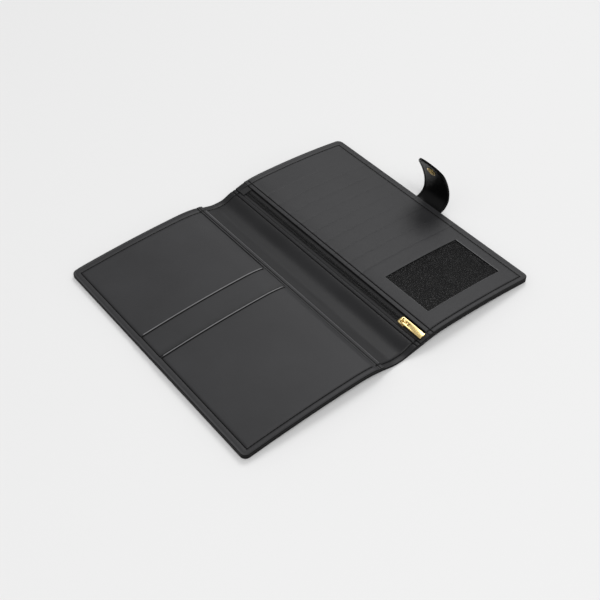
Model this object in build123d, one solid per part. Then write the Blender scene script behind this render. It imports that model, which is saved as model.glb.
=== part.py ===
from build123d import *
import os
from math import asin, atan2, cos, degrees, hypot, pi, radians, sin, sqrt

# An open leather passport wallet: two covers joined by a soft spine, with a zipped pocket,
# card slots and a window on the right cover, and a snap strap on its free edge.
# X runs across the open wallet, Y along the spine, Z up. All sizes are in millimetres.

# overall
open_width = 265.6
height = 220.0
corner_radius = 4.5
spine_offset = 1.2  # how far the spine's lowest line lies right of the middle
spine_flat = 4.0  # width that lies on the table
left_fold = 13.0  # from the spine's lowest line to the fold line of the left cover
right_fold = 3.0  # from the spine's lowest line to the fold line of the right cover
fold_gap = 0.2

# how the open wallet bows
valley_radius = 20.0
left_crown = 5.5
left_edge_lift = 0.8
left_slope = 15.0
left_shoulder_radius = 90.0
right_crown = 6.0
right_slope = 11.0
right_shoulder_radius = 85.0

# leather and board
cover_leather = 1.0
lining_leather = 0.67
panel_leather = 0.57
board = 0.38
hem_width = 5.5
hem_leather = 0.4
board_inset = 6.0
glue_gap = 0.03
layer_gap = 0.05
fold_back = 1.0  # width of a step where a sheet changes level
hem_stop = 1.0  # a cover's hem ends this far before the lining or the trench
board_stop = 1.5  # a stiffener ends this far before the lining or the trench

# left cover
back_panel_to_spine = 14.0
binding_width = 5.0
binding_gap = 0.2
lining_tuck = 10.5  # how far the spine lining runs under the back panel
middle_pocket_mouth = 131.0
lower_pocket_mouth = 105.0

# zip
zip_from_spine = 24.2
trench_left = 4.4
trench_right = 4.2
tape_thick = 0.3
tape_under_lining = 5.8
tape_under_cards = 6.8
tape_end = 5.0
riser_gap = 0.3
coil_gap = 1.4
coil_width = 0.9
coil_height = 0.85
coil_round = 0.22
coil_to_far_edge = 10.5
stop_length = 3.0
stop_round = 0.6
stop_overhang = 0.3
stop_to_coil = 0.5
stop_to_slider = 1.5

# zip slider and pull
slider_far_end = 26.0
slider_length = 8.5
slider_width = 6.2
slider_plate = 0.5
slider_floor_plate = 0.42
slider_round = 1.3
slider_wall_inset = 1.8
slider_wedge_width = 0.9
slider_wedge_inset = 0.4
slider_wedge_length = 2.2
slider_clearance = 0.2
slider_tape_gap = 0.15
slider_floor_gap = 0.1
bridge_radius = 2.2
bridge_wall = 0.75
bridge_width = 1.2
pull_length = 19.0
pull_width = 5.2
pull_thick = 0.8
pull_bar = 0.9
pull_lift = 0.75
pull_round = 0.44
pull_rim = 1.2
pull_slot_length = 1.4

# right cover
pocket_lining = 0.25
pocket_lining_inset = 3.0
card_panel_leather = 0.5
card_panel_hem = 4.5
tail_leather = 0.42
slot_count = 8
slots_to_far_edge = 26.4
slot_tail = 8.0
mouth_gap = 0.15
window_frame = 14.6  # leather left of the window and beyond it
window_near = 17.3
window_width = 74.0
window_height = 45.7
window_margin = 4.0
backing_thick = 0.17
film_thick = 0.17

# strap
strap_width = 27.5
strap_length = 56.0
strap_leather = 1.0
strap_lining = 0.77
strap_root_radius = 9.6
strap_middle_length = 11.4
strap_middle_turn = 18.0
strap_tip_turn = 21.0
strap_hinge_gap = 0.75
strap_anchor_depth = 13.5
strap_rise = 0.49  # the strap's centre line above the underside of its anchor
anchor_headroom = 0.12
anchor_clearance = 0.35

# snap
snap_from_tip = 14.0
cap_radius = 6.0
cap_height = 1.2
cap_round = 0.95
snap_radius = 4.3
socket_height = 1.25
socket_round = 0.5
socket_recess = 2.4
socket_floor = 0.3
stud_flange = 0.45
stud_radius = 1.8
stud_height = 1.7
stud_round = 0.54
shank_radius = 1.1
shank_wall = 0.55
shank_clearance = 0.1
seat_gap = 0.25
rivet_head = 0.3
rivet_inset = 0.3

# how far the strap's three bends turn to close over the folded wallet
strap_close = [24.0, 10.0, 32.0]

# places across the wallet, from its left edge
spine_centre = open_width / 2 + spine_offset
left_fold_x = spine_centre - left_fold
right_fold_x = spine_centre + right_fold
back_panel_width = spine_centre - back_panel_to_spine
pocket_width = back_panel_width - binding_width
spine_lining_start = back_panel_width - lining_tuck
zip_centre = spine_centre + zip_from_spine
trench_x0 = zip_centre - trench_left
trench_x1 = zip_centre + trench_right
tape_x0 = trench_x0 - tape_under_lining
tape_x1 = trench_x1 + tape_under_cards
window_left = trench_x1 + window_frame

# places along the spine, from its near edge
first_mouth = window_near + window_height + window_frame
slot_pitch = (height - slots_to_far_edge - first_mouth) / slot_count
stop_end = slider_far_end - slider_length - stop_to_slider
coil_end = height - coil_to_far_edge

# heights above the wallet's underside
spine_stack = cover_leather + glue_gap + lining_leather
board_top = cover_leather + glue_gap + board
back_panel_lift = spine_stack + layer_gap
middle_lift = back_panel_lift + panel_leather + 2 * glue_gap
lower_lift = middle_lift + panel_leather + glue_gap
lining_low = cover_leather + hem_leather + glue_gap
lining_top = lining_low + pocket_lining
slider_floor = lining_top + slider_floor_gap
slider_floor_top = slider_floor + slider_floor_plate
tape_lift = slider_floor_top + slider_tape_gap
tape_top = tape_lift + tape_thick
panel_lift = tape_top + layer_gap
card_panel_top = panel_lift + card_panel_leather
tail_lift = card_panel_top + glue_gap
face_lift = tail_lift + tail_leather + glue_gap
face_top = face_lift + panel_leather
coil_low = tape_top + glue_gap
coil_top = coil_low + coil_height
anchor_low = lining_top + glue_gap
strap_anchor_thick = panel_lift - anchor_low - anchor_headroom
strap_lift = anchor_low + strap_rise

strap_thick = strap_leather + strap_lining + glue_gap
total_width = open_width + strap_root_radius + strap_thick / 2
left_edge = -total_width / 2
right_edge = left_edge + open_width
near_edge = -height / 2
far_edge = height / 2
reach = 40.0  # cutters run this far past what they cut
run_out = 3.0  # sheets run this far past the edge before it is trimmed


def from_left(distance):
    return left_edge + distance


def from_near(distance):
    return near_edge + distance


def walk(x, z, heading, steps):
    """Follow straight and arc steps, each a length and a turn, and list their ends and middles."""
    path = []
    for length, turn in steps:
        stops = []
        for share in (0.0, 0.5, 1.0):
            part = length * share
            bend = turn * share
            chord = part if not turn else 2 * sin(radians(bend / 2)) * length / radians(turn)
            aim = radians(heading + bend / 2)
            stops.append((x + chord * cos(aim), z + chord * sin(aim), heading + bend))
        path.append(stops)
        x, z, heading = stops[2]
    return path


def lifted(stop, offset):
    x, z, heading = stop
    return (x - offset * sin(radians(heading)), z + offset * cos(radians(heading)))


def crown_arc(run, drop):
    """The length and turn of an arc that starts level and falls by drop over run."""
    radius = (run**2 + drop**2) / (2 * drop)
    turn = degrees(asin(run / radius))
    return radius * radians(turn), turn


def flank(span, crown, edge, slope, shoulder):
    """Arc and straight steps from the spine's flat up to the crown and down to an edge."""
    curved = valley_radius + shoulder
    ramp = (crown - curved * (1 - cos(radians(slope)))) / sin(radians(slope))
    crown_at = curved * sin(radians(slope)) + ramp * cos(radians(slope))
    fall, fall_turn = crown_arc(span - crown_at, crown - edge)
    steps = [(valley_radius * radians(slope), slope), (ramp, 0.0)]
    steps.append((shoulder * radians(slope), -slope))
    steps.append((fall, -fall_turn))
    return steps, fall_turn


def sheet_path():
    left_span = spine_centre - spine_flat / 2
    right_span = open_width - spine_centre - spine_flat / 2
    left, left_rise = flank(left_span, left_crown, left_edge_lift, left_slope, left_shoulder_radius)
    right, _ = flank(right_span, right_crown, 0.0, right_slope, right_shoulder_radius)
    steps = [(run_out, 0.0)] + list(reversed(left)) + [(spine_flat, 0.0)] + right + [(run_out, 0.0)]
    start_x = left_edge - run_out * cos(radians(left_rise))
    start_z = left_edge_lift - run_out * sin(radians(left_rise))
    return walk(start_x, start_z, left_rise, steps)


sheet = sheet_path()


def path_edges(path, offset, y, backwards=False):
    edges = []
    for start, middle, end in path:
        a, m, b = [(p[0], y, p[1]) for p in (lifted(stop, offset) for stop in (start, middle, end))]
        straight = start[2] == end[2]
        edges.append(Line(a, b) if straight else ThreePointArc(a, m, b))
    return list(reversed(edges)) if backwards else edges


def band(path, low, high, y0, y1):
    """A sheet that follows a path, between two offsets from it."""
    lower = path_edges(path, low, y0)
    upper = path_edges(path, high, y0, backwards=True)
    ends = [Line(lower[-1] @ 1, upper[0] @ 1), Line(upper[-1] @ 0, lower[0] @ 0)]
    face = Face(Wire(lower + upper + ends))
    return extrude(face, amount=y1 - y0, dir=(0, 1, 0))


def block(x0, x1, y0, y1, z0=-reach, z1=reach):
    return Pos((x0 + x1) / 2, (y0 + y1) / 2, (z0 + z1) / 2) * Box(x1 - x0, y1 - y0, z1 - z0)


def rounded_outline():
    face = RectangleRounded(open_width, height, corner_radius)
    return Pos(left_edge + open_width / 2, 0, -reach) * extrude(face, amount=2 * reach)


outline = rounded_outline()


def past_edges(low, high, full):
    """A span, run out past the wallet's edges where it reaches them."""
    return (-run_out if low == 0 else low, full + run_out if high == full else high)


def layer(x0, x1, y0, y1, low, high):
    """A piece of the wallet's curved sheet over a rectangle measured from its left and near edges."""
    at_edge = x0 == 0 or x1 == open_width or y0 == 0 or y1 == height
    x0, x1 = past_edges(x0, x1, open_width)
    y0, y1 = past_edges(y0, y1, height)
    piece = band(sheet, low, high, from_near(y0), from_near(y1))
    piece = piece & block(from_left(x0), from_left(x1), near_edge - reach, far_edge + reach)
    return piece & outline if at_edge else piece


def height_at(x, offset):
    """How high the curved sheet lies at x, at an offset from its underside."""
    for start, middle, end in sheet:
        a = lifted(start, offset)
        b = lifted(end, offset)
        if a[0] <= x <= b[0]:
            share = (x - a[0]) / (b[0] - a[0])
            if start[2] == end[2]:
                return a[1] + share * (b[1] - a[1])
            m = lifted(middle, offset)
            return arc_height(a, m, b, x)
    raise ValueError("x is off the sheet")


def arc_height(a, m, b, x):
    chord = hypot(b[0] - a[0], b[1] - a[1])
    bulge = ((m[0] - (a[0] + b[0]) / 2) ** 2 + (m[1] - (a[1] + b[1]) / 2) ** 2) ** 0.5
    radius = (chord**2 / 4 + bulge**2) / (2 * bulge)
    up = m[1] > (a[1] + b[1]) / 2
    to_centre = (radius - bulge) / bulge
    cx = (a[0] + b[0]) / 2 - (m[0] - (a[0] + b[0]) / 2) * to_centre
    cz = (a[1] + b[1]) / 2 - (m[1] - (a[1] + b[1]) / 2) * to_centre
    rise = sqrt(radius**2 - (x - cx) ** 2)
    return cz + rise if up else cz - rise


def slope_at(x, offset):
    step = 0.01
    rise = height_at(x + step, offset) - height_at(x - step, offset)
    return degrees(atan2(rise, 2 * step))


left_hinge = (from_left(left_fold_x), height_at(from_left(left_fold_x), spine_stack))
right_hinge = (from_left(right_fold_x), height_at(from_left(right_fold_x), spine_stack))


def hem(x0, x1, open_side, width, low, high):
    """A turned-in edge round three sides; open_side is the side that has none."""
    rim = layer(x0, x1, 0, height, low, high)
    inner_x0 = from_left(x0) - reach if open_side == "left" else from_left(x0 + width)
    inner_x1 = from_left(x1) + reach if open_side == "right" else from_left(x1 - width)
    return rim - block(inner_x0, inner_x1, from_near(width), from_near(height - width))


# ---- strap path, and where its snap meets the folded left cover

strap_tip_length = strap_length - strap_root_radius * pi / 2 - strap_middle_length
strap_steps = [
    (strap_root_radius * pi / 2, 90.0),
    (strap_middle_length, strap_middle_turn),
    (strap_tip_length, strap_tip_turn),
]
strap_path = walk(right_edge, strap_lift, 0.0, strap_steps)
strap_hinges = [strap_path[0][0], strap_path[1][0], strap_path[2][0]]


def turned(point, pivot, angle):
    """A point turned in the XZ plane, anticlockwise as seen with X right and Z up."""
    dx = point[0] - pivot[0]
    dz = point[1] - pivot[1]
    a = radians(angle)
    return (pivot[0] + dx * cos(a) - dz * sin(a), pivot[1] + dx * sin(a) + dz * cos(a))


def strap_stop(distance):
    """The strap's centre line at a distance along its tip segment."""
    share = distance / strap_tip_length
    return walk(*strap_path[2][0], [(distance, strap_tip_turn * share)])[0][2]


def closed_strap(point):
    for hinge, angle in zip(reversed(strap_hinges), reversed(strap_close)):
        point = turned(point, hinge, angle)
    return point


def folded(point):
    """Where a point of the left cover goes when the wallet is folded shut."""
    return turned(turned(point, left_hinge, -90.0), right_hinge, -90.0)


def unfolded(point):
    return turned(turned(point, right_hinge, 90.0), left_hinge, 90.0)


snap_stop = strap_stop(strap_tip_length - snap_from_tip)
snap_closed = closed_strap(snap_stop)
stud_x = unfolded(snap_closed)[0]


# ---- left cover


def stud_frame():
    """The snap stud's frame: its own Z points out of the left cover's outer face."""
    tilt = 180.0 - slope_at(stud_x, 0.0)
    return Pos(stud_x, 0, height_at(stud_x, 0.0)) * Rot(0, tilt, 0)


def left_cover_parts():
    edge = left_fold_x - fold_gap / 2
    hole = stud_frame() * Cylinder(shank_radius + shank_clearance, 2 * board_top)
    cover = layer(0, edge, 0, height, 0, cover_leather)
    cover += hem(0, spine_lining_start - hem_stop, "right", hem_width, 0, cover_leather + hem_leather)
    stiffener = layer(board_inset, spine_lining_start - board_stop, board_inset, height - board_inset,
                      cover_leather + glue_gap, board_top)
    stud_well = stud_frame() * Cylinder(snap_radius, 4 * board_top)
    return {
        "left_cover_leather": cover - hole,
        "left_stiffener_board": stiffener - stud_well,
        "spine_lining_left": layer(spine_lining_start, edge, 0, height,
                                   cover_leather + glue_gap, spine_stack),
        "left_back_panel": layer(0, back_panel_width, 0, height,
                                 back_panel_lift, back_panel_lift + panel_leather),
        "left_middle_pocket": layer(0, pocket_width, 0, middle_pocket_mouth,
                                    middle_lift, middle_lift + panel_leather),
        "left_lower_pocket": layer(0, pocket_width, 0, lower_pocket_mouth,
                                   lower_lift, lower_lift + panel_leather),
        "left_spine_binding": layer(pocket_width + binding_gap, back_panel_width, 0, height,
                                    middle_lift, middle_lift + panel_leather),
    }


def snap_stud_parts():
    frame = stud_frame()
    flange = Pos(0, 0, stud_flange / 2 + glue_gap) * Cylinder(snap_radius, stud_flange)
    post = Pos(0, 0, stud_height / 2 + glue_gap) * Cylinder(stud_radius, stud_height)
    post = fillet(post.edges().group_by(Axis.Z)[-1], stud_round)
    shank_length = cover_leather + 2 * glue_gap
    shank = Pos(0, 0, -shank_length / 2 + glue_gap) * Cylinder(shank_radius, shank_length)
    head_low = -cover_leather - glue_gap - rivet_head
    head = Pos(0, 0, head_low + rivet_head / 2) * Cylinder(snap_radius - rivet_inset, rivet_head)
    bore = Cylinder(shank_radius - shank_wall, 4 * cover_leather)
    return {
        "snap_stud": frame * (flange + post + (shank - bore)),
        "stud_rivet": frame * head,
    }


# ---- spine


def spine_parts():
    x0 = left_fold_x + fold_gap / 2
    x1 = right_fold_x - fold_gap / 2
    return {
        "spine_leather": layer(x0, x1, 0, height, 0, cover_leather),
        "spine_lining": layer(x0, x1, 0, height, cover_leather + glue_gap, spine_stack),
    }


# ---- right cover


def anchor_space(margin):
    half = strap_width / 2 + margin
    return block(right_edge - strap_anchor_depth - margin, right_edge + reach, -half, half)


def right_cover_parts():
    edge = right_fold_x + fold_gap / 2
    cover = layer(edge, open_width, 0, height, 0, cover_leather)
    cover += hem(trench_x1 + hem_stop, open_width, "left", hem_width, 0, cover_leather + hem_leather)
    panel = layer(trench_x1, open_width, 0, height, panel_lift, card_panel_top)
    panel += hem(trench_x1, open_width, "left", card_panel_hem, anchor_low, card_panel_top)
    slit = layer(0, open_width, 0, height, cover_leather, panel_lift)
    notch = anchor_space(anchor_clearance) & slit
    anchor = layer(open_width - strap_anchor_depth, open_width, 0, height,
                   anchor_low, anchor_low + strap_anchor_thick)
    inset = pocket_lining_inset
    return {
        "right_cover_leather": cover,
        "right_stiffener_board": layer(trench_x1 + board_stop, open_width - board_inset, board_inset,
                                       height - board_inset, cover_leather + glue_gap, board_top),
        "zip_pocket_lining": layer(tape_x0, open_width - inset, inset, height - inset,
                                   lining_low, lining_top),
        "card_panel": panel - notch,
        "strap_anchor": anchor & anchor_space(0),
    }


def spine_lining_right():
    edge = right_fold_x + fold_gap / 2
    riser = tape_x0 - riser_gap
    low = layer(edge, riser, 0, height, cover_leather + glue_gap, spine_stack)
    step = layer(riser - fold_back, riser, 0, height, cover_leather + glue_gap, panel_lift + lining_leather)
    high = layer(riser - fold_back, trench_x0, 0, height, panel_lift, panel_lift + lining_leather)
    return low + step + high


def card_slot(index):
    """One card slot: a face with its mouth at the far side, and a tail tucked under the one before."""
    near = first_mouth + index * slot_pitch
    mouth = near + slot_pitch
    face = layer(trench_x1, open_width, near + mouth_gap, mouth, face_lift, face_top)
    step = layer(trench_x1, open_width, near + mouth_gap, near + mouth_gap + fold_back, tail_lift, face_top)
    tail = layer(trench_x1, open_width, near - slot_tail, near + mouth_gap + fold_back,
                 tail_lift, tail_lift + tail_leather)
    return face + step + tail


def window_parts():
    x1 = window_left + window_width
    y1 = window_near + window_height
    opening = block(from_left(window_left), from_left(x1), from_near(window_near), from_near(y1))
    panel = layer(trench_x1, open_width, 0, first_mouth, face_lift, face_top)
    backing_top = tail_lift + backing_thick
    rect = (window_left - window_margin, x1 + window_margin, window_near - window_margin, y1 + window_margin)
    return {
        "window_panel": panel - opening,
        "window_backing": layer(*rect, tail_lift, backing_top),
        "window_film": layer(*rect, backing_top + glue_gap, backing_top + glue_gap + film_thick),
    }


# ---- zip


def zip_frame(y):
    """A frame on the zip's centre line: its own Z is the height above the wallet's underside."""
    x = from_left(zip_centre)
    on_tape = Pos(x, from_near(y), height_at(x, tape_lift))
    return on_tape * Rot(0, -slope_at(x, tape_lift), 0) * Pos(0, 0, -tape_lift)


def local_box(x0, x1, y0, y1, z0, z1):
    return Pos((x0 + x1) / 2, (y0 + y1) / 2, (z0 + z1) / 2) * Box(x1 - x0, y1 - y0, z1 - z0)


def coil_row(side):
    inner = side * coil_gap / 2
    outer = side * (coil_gap / 2 + coil_width)
    start = stop_end + glue_gap
    row = local_box(min(inner, outer), max(inner, outer), start, coil_end, coil_low, coil_top)
    row = fillet(row.edges().filter_by(Axis.Y), coil_round)
    return zip_frame(0) * row


def zip_parts():
    half = coil_gap / 2
    stop_start = stop_end - stop_length
    stop_x = half + coil_width
    top_x = stop_x + stop_overhang
    tops = local_box(-top_x, -half, stop_start, stop_end, coil_low, coil_top)
    tops += local_box(half, top_x, stop_start, stop_end, coil_low, coil_top)
    bottom_start = coil_end + stop_to_coil
    bottom = local_box(-stop_x, stop_x, bottom_start, bottom_start + stop_length, coil_low, coil_top)
    bottom = fillet(bottom.edges().filter_by(Axis.Z), stop_round)
    return {
        "zip_tape_left": layer(tape_x0, zip_centre - half, tape_end, height - tape_end, tape_lift, tape_top),
        "zip_tape_right": layer(zip_centre + half, tape_x1, tape_end, height - tape_end, tape_lift, tape_top),
        "zip_coil_left": coil_row(-1),
        "zip_coil_right": coil_row(1),
        "zip_top_stops": zip_frame(0) * tops,
        "zip_bottom_stop": zip_frame(0) * bottom,
    }


slider_roof = coil_top + slider_clearance
slider_top = slider_roof + slider_plate
bridge_y = slider_far_end - slider_length / 2
pull_axis_z = slider_top + pull_lift


def slider_parts():
    y0 = slider_far_end - slider_length
    y1 = slider_far_end
    half = slider_width / 2
    floor = local_box(-half, half, y0, y1, slider_floor, slider_floor_top)
    roof = local_box(-half, half, y0, y1, slider_roof, slider_top)
    roof = fillet(roof.edges().filter_by(Axis.Z), slider_round)
    floor = fillet(floor.edges().filter_by(Axis.Z), slider_round)
    wedge_y = y0 + slider_wedge_inset
    wedge = local_box(-slider_wedge_width / 2, slider_wedge_width / 2,
                      wedge_y, wedge_y + slider_wedge_length, slider_floor, slider_roof)
    body = roof + floor + wedge
    for side in (-1, 1):
        inner = side * (half - slider_plate)
        body += local_box(min(side * half, inner), max(side * half, inner),
                          y0 + slider_wall_inset, y1 - slider_wall_inset,
                          tape_top + slider_clearance, slider_roof)
    arch = Cylinder(bridge_radius, bridge_width, rotation=(0, 90, 0))
    arch -= Cylinder(bridge_radius - bridge_wall, bridge_width, rotation=(0, 90, 0))
    arch = arch & local_box(-bridge_width, bridge_width, -reach, reach, 0, reach)
    return {
        "slider_body": zip_frame(0) * body,
        "slider_bridge": zip_frame(0) * Pos(0, bridge_y, slider_top) * arch,
    }


def pull_plate():
    half = pull_width / 2
    arm = (pull_width - bridge_width) / 2 - slider_clearance * 2
    hole_end = bridge_radius + slider_clearance * 2
    z0 = -pull_thick / 2
    z1 = pull_thick / 2
    plate = local_box(-half, half, -pull_length, pull_bar / 2, z0, z1)
    plate = fillet(plate.edges().filter_by(Axis.Z), pull_round)
    plate -= local_box(-half + arm, half - arm, -hole_end, -pull_bar / 2, -reach, reach)
    slot_half = half - pull_rim
    slot_end = -hole_end - pull_rim
    plate -= local_box(-slot_half, slot_half, slot_end - pull_slot_length, slot_end, -reach, reach)
    return zip_frame(0) * Pos(0, bridge_y, pull_axis_z) * plate


# ---- strap


def strap_segment(index, low, high):
    """One stretch of the strap between two bends, with room at each bend."""
    x, z, heading = strap_path[index][0]
    length, turn = strap_steps[index]
    last = index == len(strap_steps) - 1
    rate = turn / length
    start = walk(x, z, heading, [(strap_hinge_gap, rate * strap_hinge_gap)])[0][2]
    used = length - strap_hinge_gap - (0 if last else strap_hinge_gap)
    path = walk(*start, [(used, rate * used)])
    piece = band(path, low, high, -strap_width / 2, strap_width / 2)
    return piece & tip_outline() if last else piece


def tip_outline():
    """The strap's tip seen square on: straight sides and a round end."""
    x0, z0, _ = strap_path[2][0]
    x1, z1, _ = strap_path[2][2]
    run = hypot(x1 - x0, z1 - z0)
    aim = degrees(atan2(z1 - z0, x1 - x0))
    radius = strap_width / 2
    shape = Pos(-reach / 2 + (run - radius) / 2, 0) * Rectangle(reach + run - radius, strap_width)
    shape += Pos(run - radius, 0) * Circle(radius)
    return Pos(x0, 0, z0) * Rot(0, -aim, 0) * Pos(0, 0, -reach / 2) * extrude(shape, amount=reach)


def snap_frame():
    """A frame on the strap's centre line at the snap: its own Z points out of the lining."""
    x, z, heading = snap_stop
    return Pos(x, 0, z) * Rot(0, -heading, 0)


def strap_parts():
    names = ["strap_root", "strap_middle", "strap_tip"]
    mid = strap_thick / 2
    outer_top = -mid + strap_leather
    parts = {}
    hole = snap_frame() * Cylinder(shank_radius + shank_clearance, 4 * strap_thick)
    for index, name in enumerate(names):
        outer = strap_segment(index, -mid, outer_top)
        lining = strap_segment(index, outer_top + glue_gap, mid)
        last = index == len(names) - 1
        parts[name + "_leather"] = outer - hole if last else outer
        parts[name + "_lining"] = lining - hole if last else lining
    return parts


def snap_cap_parts():
    mid = strap_thick / 2
    frame = snap_frame()
    cap = Pos(0, 0, -mid - glue_gap - cap_height / 2) * Cylinder(cap_radius, cap_height)
    cap = fillet(cap.edges().group_by(Axis.Z)[0], cap_round)
    shank_length = strap_thick + glue_gap + seat_gap
    cap += Pos(0, 0, -mid - glue_gap + shank_length / 2) * Cylinder(shank_radius, shank_length)
    low = mid + seat_gap
    socket = Pos(0, 0, low + socket_height / 2) * Cylinder(snap_radius, socket_height)
    socket = fillet(socket.edges().group_by(Axis.Z)[-1], socket_round)
    socket -= Pos(0, 0, low + socket_floor + reach / 2) * Cylinder(socket_recess, reach)
    return {"snap_cap": frame * cap, "snap_socket": frame * socket}


def all_parts():
    parts = {}
    parts.update(left_cover_parts())
    parts.update(snap_stud_parts())
    parts.update(spine_parts())
    parts.update(right_cover_parts())
    parts["spine_lining_right"] = spine_lining_right()
    parts.update(window_parts())
    for index in range(slot_count):
        parts[f"card_slot_{index + 1}"] = card_slot(index)
    parts.update(zip_parts())
    parts.update(slider_parts())
    parts["pull_plate"] = pull_plate()
    parts.update(strap_parts())
    parts.update(snap_cap_parts())
    return parts


def main():
    os.makedirs("parts", exist_ok=True)
    for name, shape in all_parts().items():
        export_step(shape, f"parts/{name}.step")


main()
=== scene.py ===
from math import asin, cos, degrees, hypot, pi, radians, sin
import bpy
import bmesh
import numpy as np
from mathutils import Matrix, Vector


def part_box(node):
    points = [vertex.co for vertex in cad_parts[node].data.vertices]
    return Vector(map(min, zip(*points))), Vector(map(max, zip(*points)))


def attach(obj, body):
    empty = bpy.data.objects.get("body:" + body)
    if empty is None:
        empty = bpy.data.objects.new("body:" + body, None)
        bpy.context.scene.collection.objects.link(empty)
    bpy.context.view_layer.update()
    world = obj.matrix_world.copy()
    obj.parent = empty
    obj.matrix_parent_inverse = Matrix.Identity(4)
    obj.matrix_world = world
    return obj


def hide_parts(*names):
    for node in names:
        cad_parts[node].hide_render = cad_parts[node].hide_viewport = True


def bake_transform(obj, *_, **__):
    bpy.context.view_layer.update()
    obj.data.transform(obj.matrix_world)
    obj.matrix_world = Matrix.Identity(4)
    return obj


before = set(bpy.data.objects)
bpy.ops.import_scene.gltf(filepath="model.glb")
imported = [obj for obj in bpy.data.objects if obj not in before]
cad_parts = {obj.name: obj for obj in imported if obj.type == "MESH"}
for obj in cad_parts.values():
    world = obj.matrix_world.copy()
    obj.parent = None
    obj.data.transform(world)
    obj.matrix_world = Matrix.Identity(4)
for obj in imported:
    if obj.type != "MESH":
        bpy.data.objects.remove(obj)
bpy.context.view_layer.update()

# An open leather travel wallet. Lengths are in millimetres until a point is placed.
# x runs from the wallet's left edge, y from its near edge, lift up from its underside.

mm = 0.001


def nodeSpan(node):
    low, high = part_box(node)
    return [low.x / mm, high.x / mm, low.y / mm, high.y / mm, low.z / mm, high.z / mm]


coverSpan = nodeSpan("left_cover_leather")
leftEdge = coverSpan[0]
nearEdge = coverSpan[2]
walletHeight = coverSpan[3] - coverSpan[2]
walletWidth = nodeSpan("right_cover_leather")[1] - leftEdge


def flatSpan(node):  # a node's rectangle from the left and near edges
    x0, x1, y0, y1, _, _ = nodeSpan(node)
    return x0 - leftEdge, x1 - leftEdge, y0 - nearEdge, y1 - nearEdge


liningLeftStart = flatSpan("spine_lining_left")[0]
trenchLeft = flatSpan("spine_lining_right")[1]  # the zip lies in a trench between lining and cards
trenchRight = flatSpan("card_panel")[0]
backPanelEnd = flatSpan("left_back_panel")[1]
pocketEnd, _, lowerMouth = flatSpan("left_lower_pocket")[1:]
middleMouth = flatSpan("left_middle_pocket")[3]

# the curved sheet that every layer follows

bow = {
    "spineOffset": 1.2,  # the lowest line lies this far right of the middle
    "spineFlat": 4.0,
    "valleyRadius": 20.0,
    "leftCrown": 5.5,
    "leftEdgeLift": 0.8,
    "leftSlope": 15.0,
    "leftShoulder": 90.0,
    "rightCrown": 6.0,
    "rightSlope": 11.0,
    "rightShoulder": 85.0,
    "runOut": 6.0,
}


def walkPath(x, z, heading, steps, fine=0.2):  # rows of x, z, heading and length so far
    rows = []
    gone = 0.0
    for length, turn in steps:
        part = np.linspace(0.0, length, max(3, int(length / fine)))
        bend = np.radians(turn) * part / length
        chord = part if not turn else 2 * np.sin(bend / 2) * length / radians(turn)
        aim = radians(heading) + bend / 2
        block = [x + chord * np.cos(aim), z + chord * np.sin(aim), radians(heading) + bend, gone + part]
        rows.append(np.stack(block, 1)[:-1])
        x, z = block[0][-1], block[1][-1]
        heading += turn
        gone += length
    rows.append(np.array([[x, z, radians(heading), gone]]))
    return np.concatenate(rows)


def flank(span, crown, edge, slope, shoulder):
    curved = bow["valleyRadius"] + shoulder
    ramp = (crown - curved * (1 - cos(radians(slope)))) / sin(radians(slope))
    run = span - curved * sin(radians(slope)) - ramp * cos(radians(slope))
    drop = crown - edge
    radius = (run**2 + drop**2) / (2 * drop)
    fall = degrees(asin(run / radius))
    valley = (bow["valleyRadius"] * radians(slope), slope)
    over = (shoulder * radians(slope), -slope)
    return [valley, (ramp, 0.0), over, (radius * radians(fall), -fall)], fall


def sheetRows():
    middle = walletWidth / 2 + bow["spineOffset"]
    half = bow["spineFlat"] / 2
    left, rise = flank(middle - half, bow["leftCrown"], bow["leftEdgeLift"],
                       bow["leftSlope"], bow["leftShoulder"])
    right, _ = flank(walletWidth - middle - half, bow["rightCrown"], 0.0,
                     bow["rightSlope"], bow["rightShoulder"])
    end = (bow["runOut"], 0.0)
    steps = [end] + left[::-1] + [(bow["spineFlat"], 0.0)] + right + [end]
    x = -bow["runOut"] * cos(radians(rise))
    return walkPath(x, bow["leftEdgeLift"] - bow["runOut"] * sin(radians(rise)), rise, steps)


sheet = sheetRows()


def slopeAt(x):
    return np.interp(x, sheet[:, 0], sheet[:, 2])


def onSheet(x, y, lift):  # points in metres on the curved sheet
    x, y, lift = np.broadcast_arrays(np.asarray(x, float), np.asarray(y, float), np.asarray(lift, float))
    foot = x.copy()
    for _ in range(5):
        foot = x + lift * np.sin(slopeAt(foot))
    z = np.interp(foot, sheet[:, 0], sheet[:, 1]) + lift * np.cos(slopeAt(foot))
    return np.stack([leftEdge + x, nearEdge + y, z], -1) * mm


# leaves: thin closed pieces of leather on a grid that follows their outline

lifts = {  # above the underside
    "cover": (0.0, 1.0),
    "hem": 1.4,
    "lining": (1.03, 1.70),
    "liningHigh": (2.70, 3.37),
    "backPanel": (1.75, 2.32),
    "middlePocket": (2.38, 2.95),
    "lowerPocket": (2.98, 3.55),
    "pocketLining": (1.43, 1.68),
    "cardPanel": (2.70, 3.20),
    "face": (3.68, 4.25),
    "backing": (3.23, 3.40),
    "film": (3.43, 3.60),
    "tape": (2.35, 2.65),
    "coil": (2.68, 3.53),
}
roundSteps = [0.0, 0.08, 0.3, 0.62, 1.0]  # shares of an edge's radius


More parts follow.
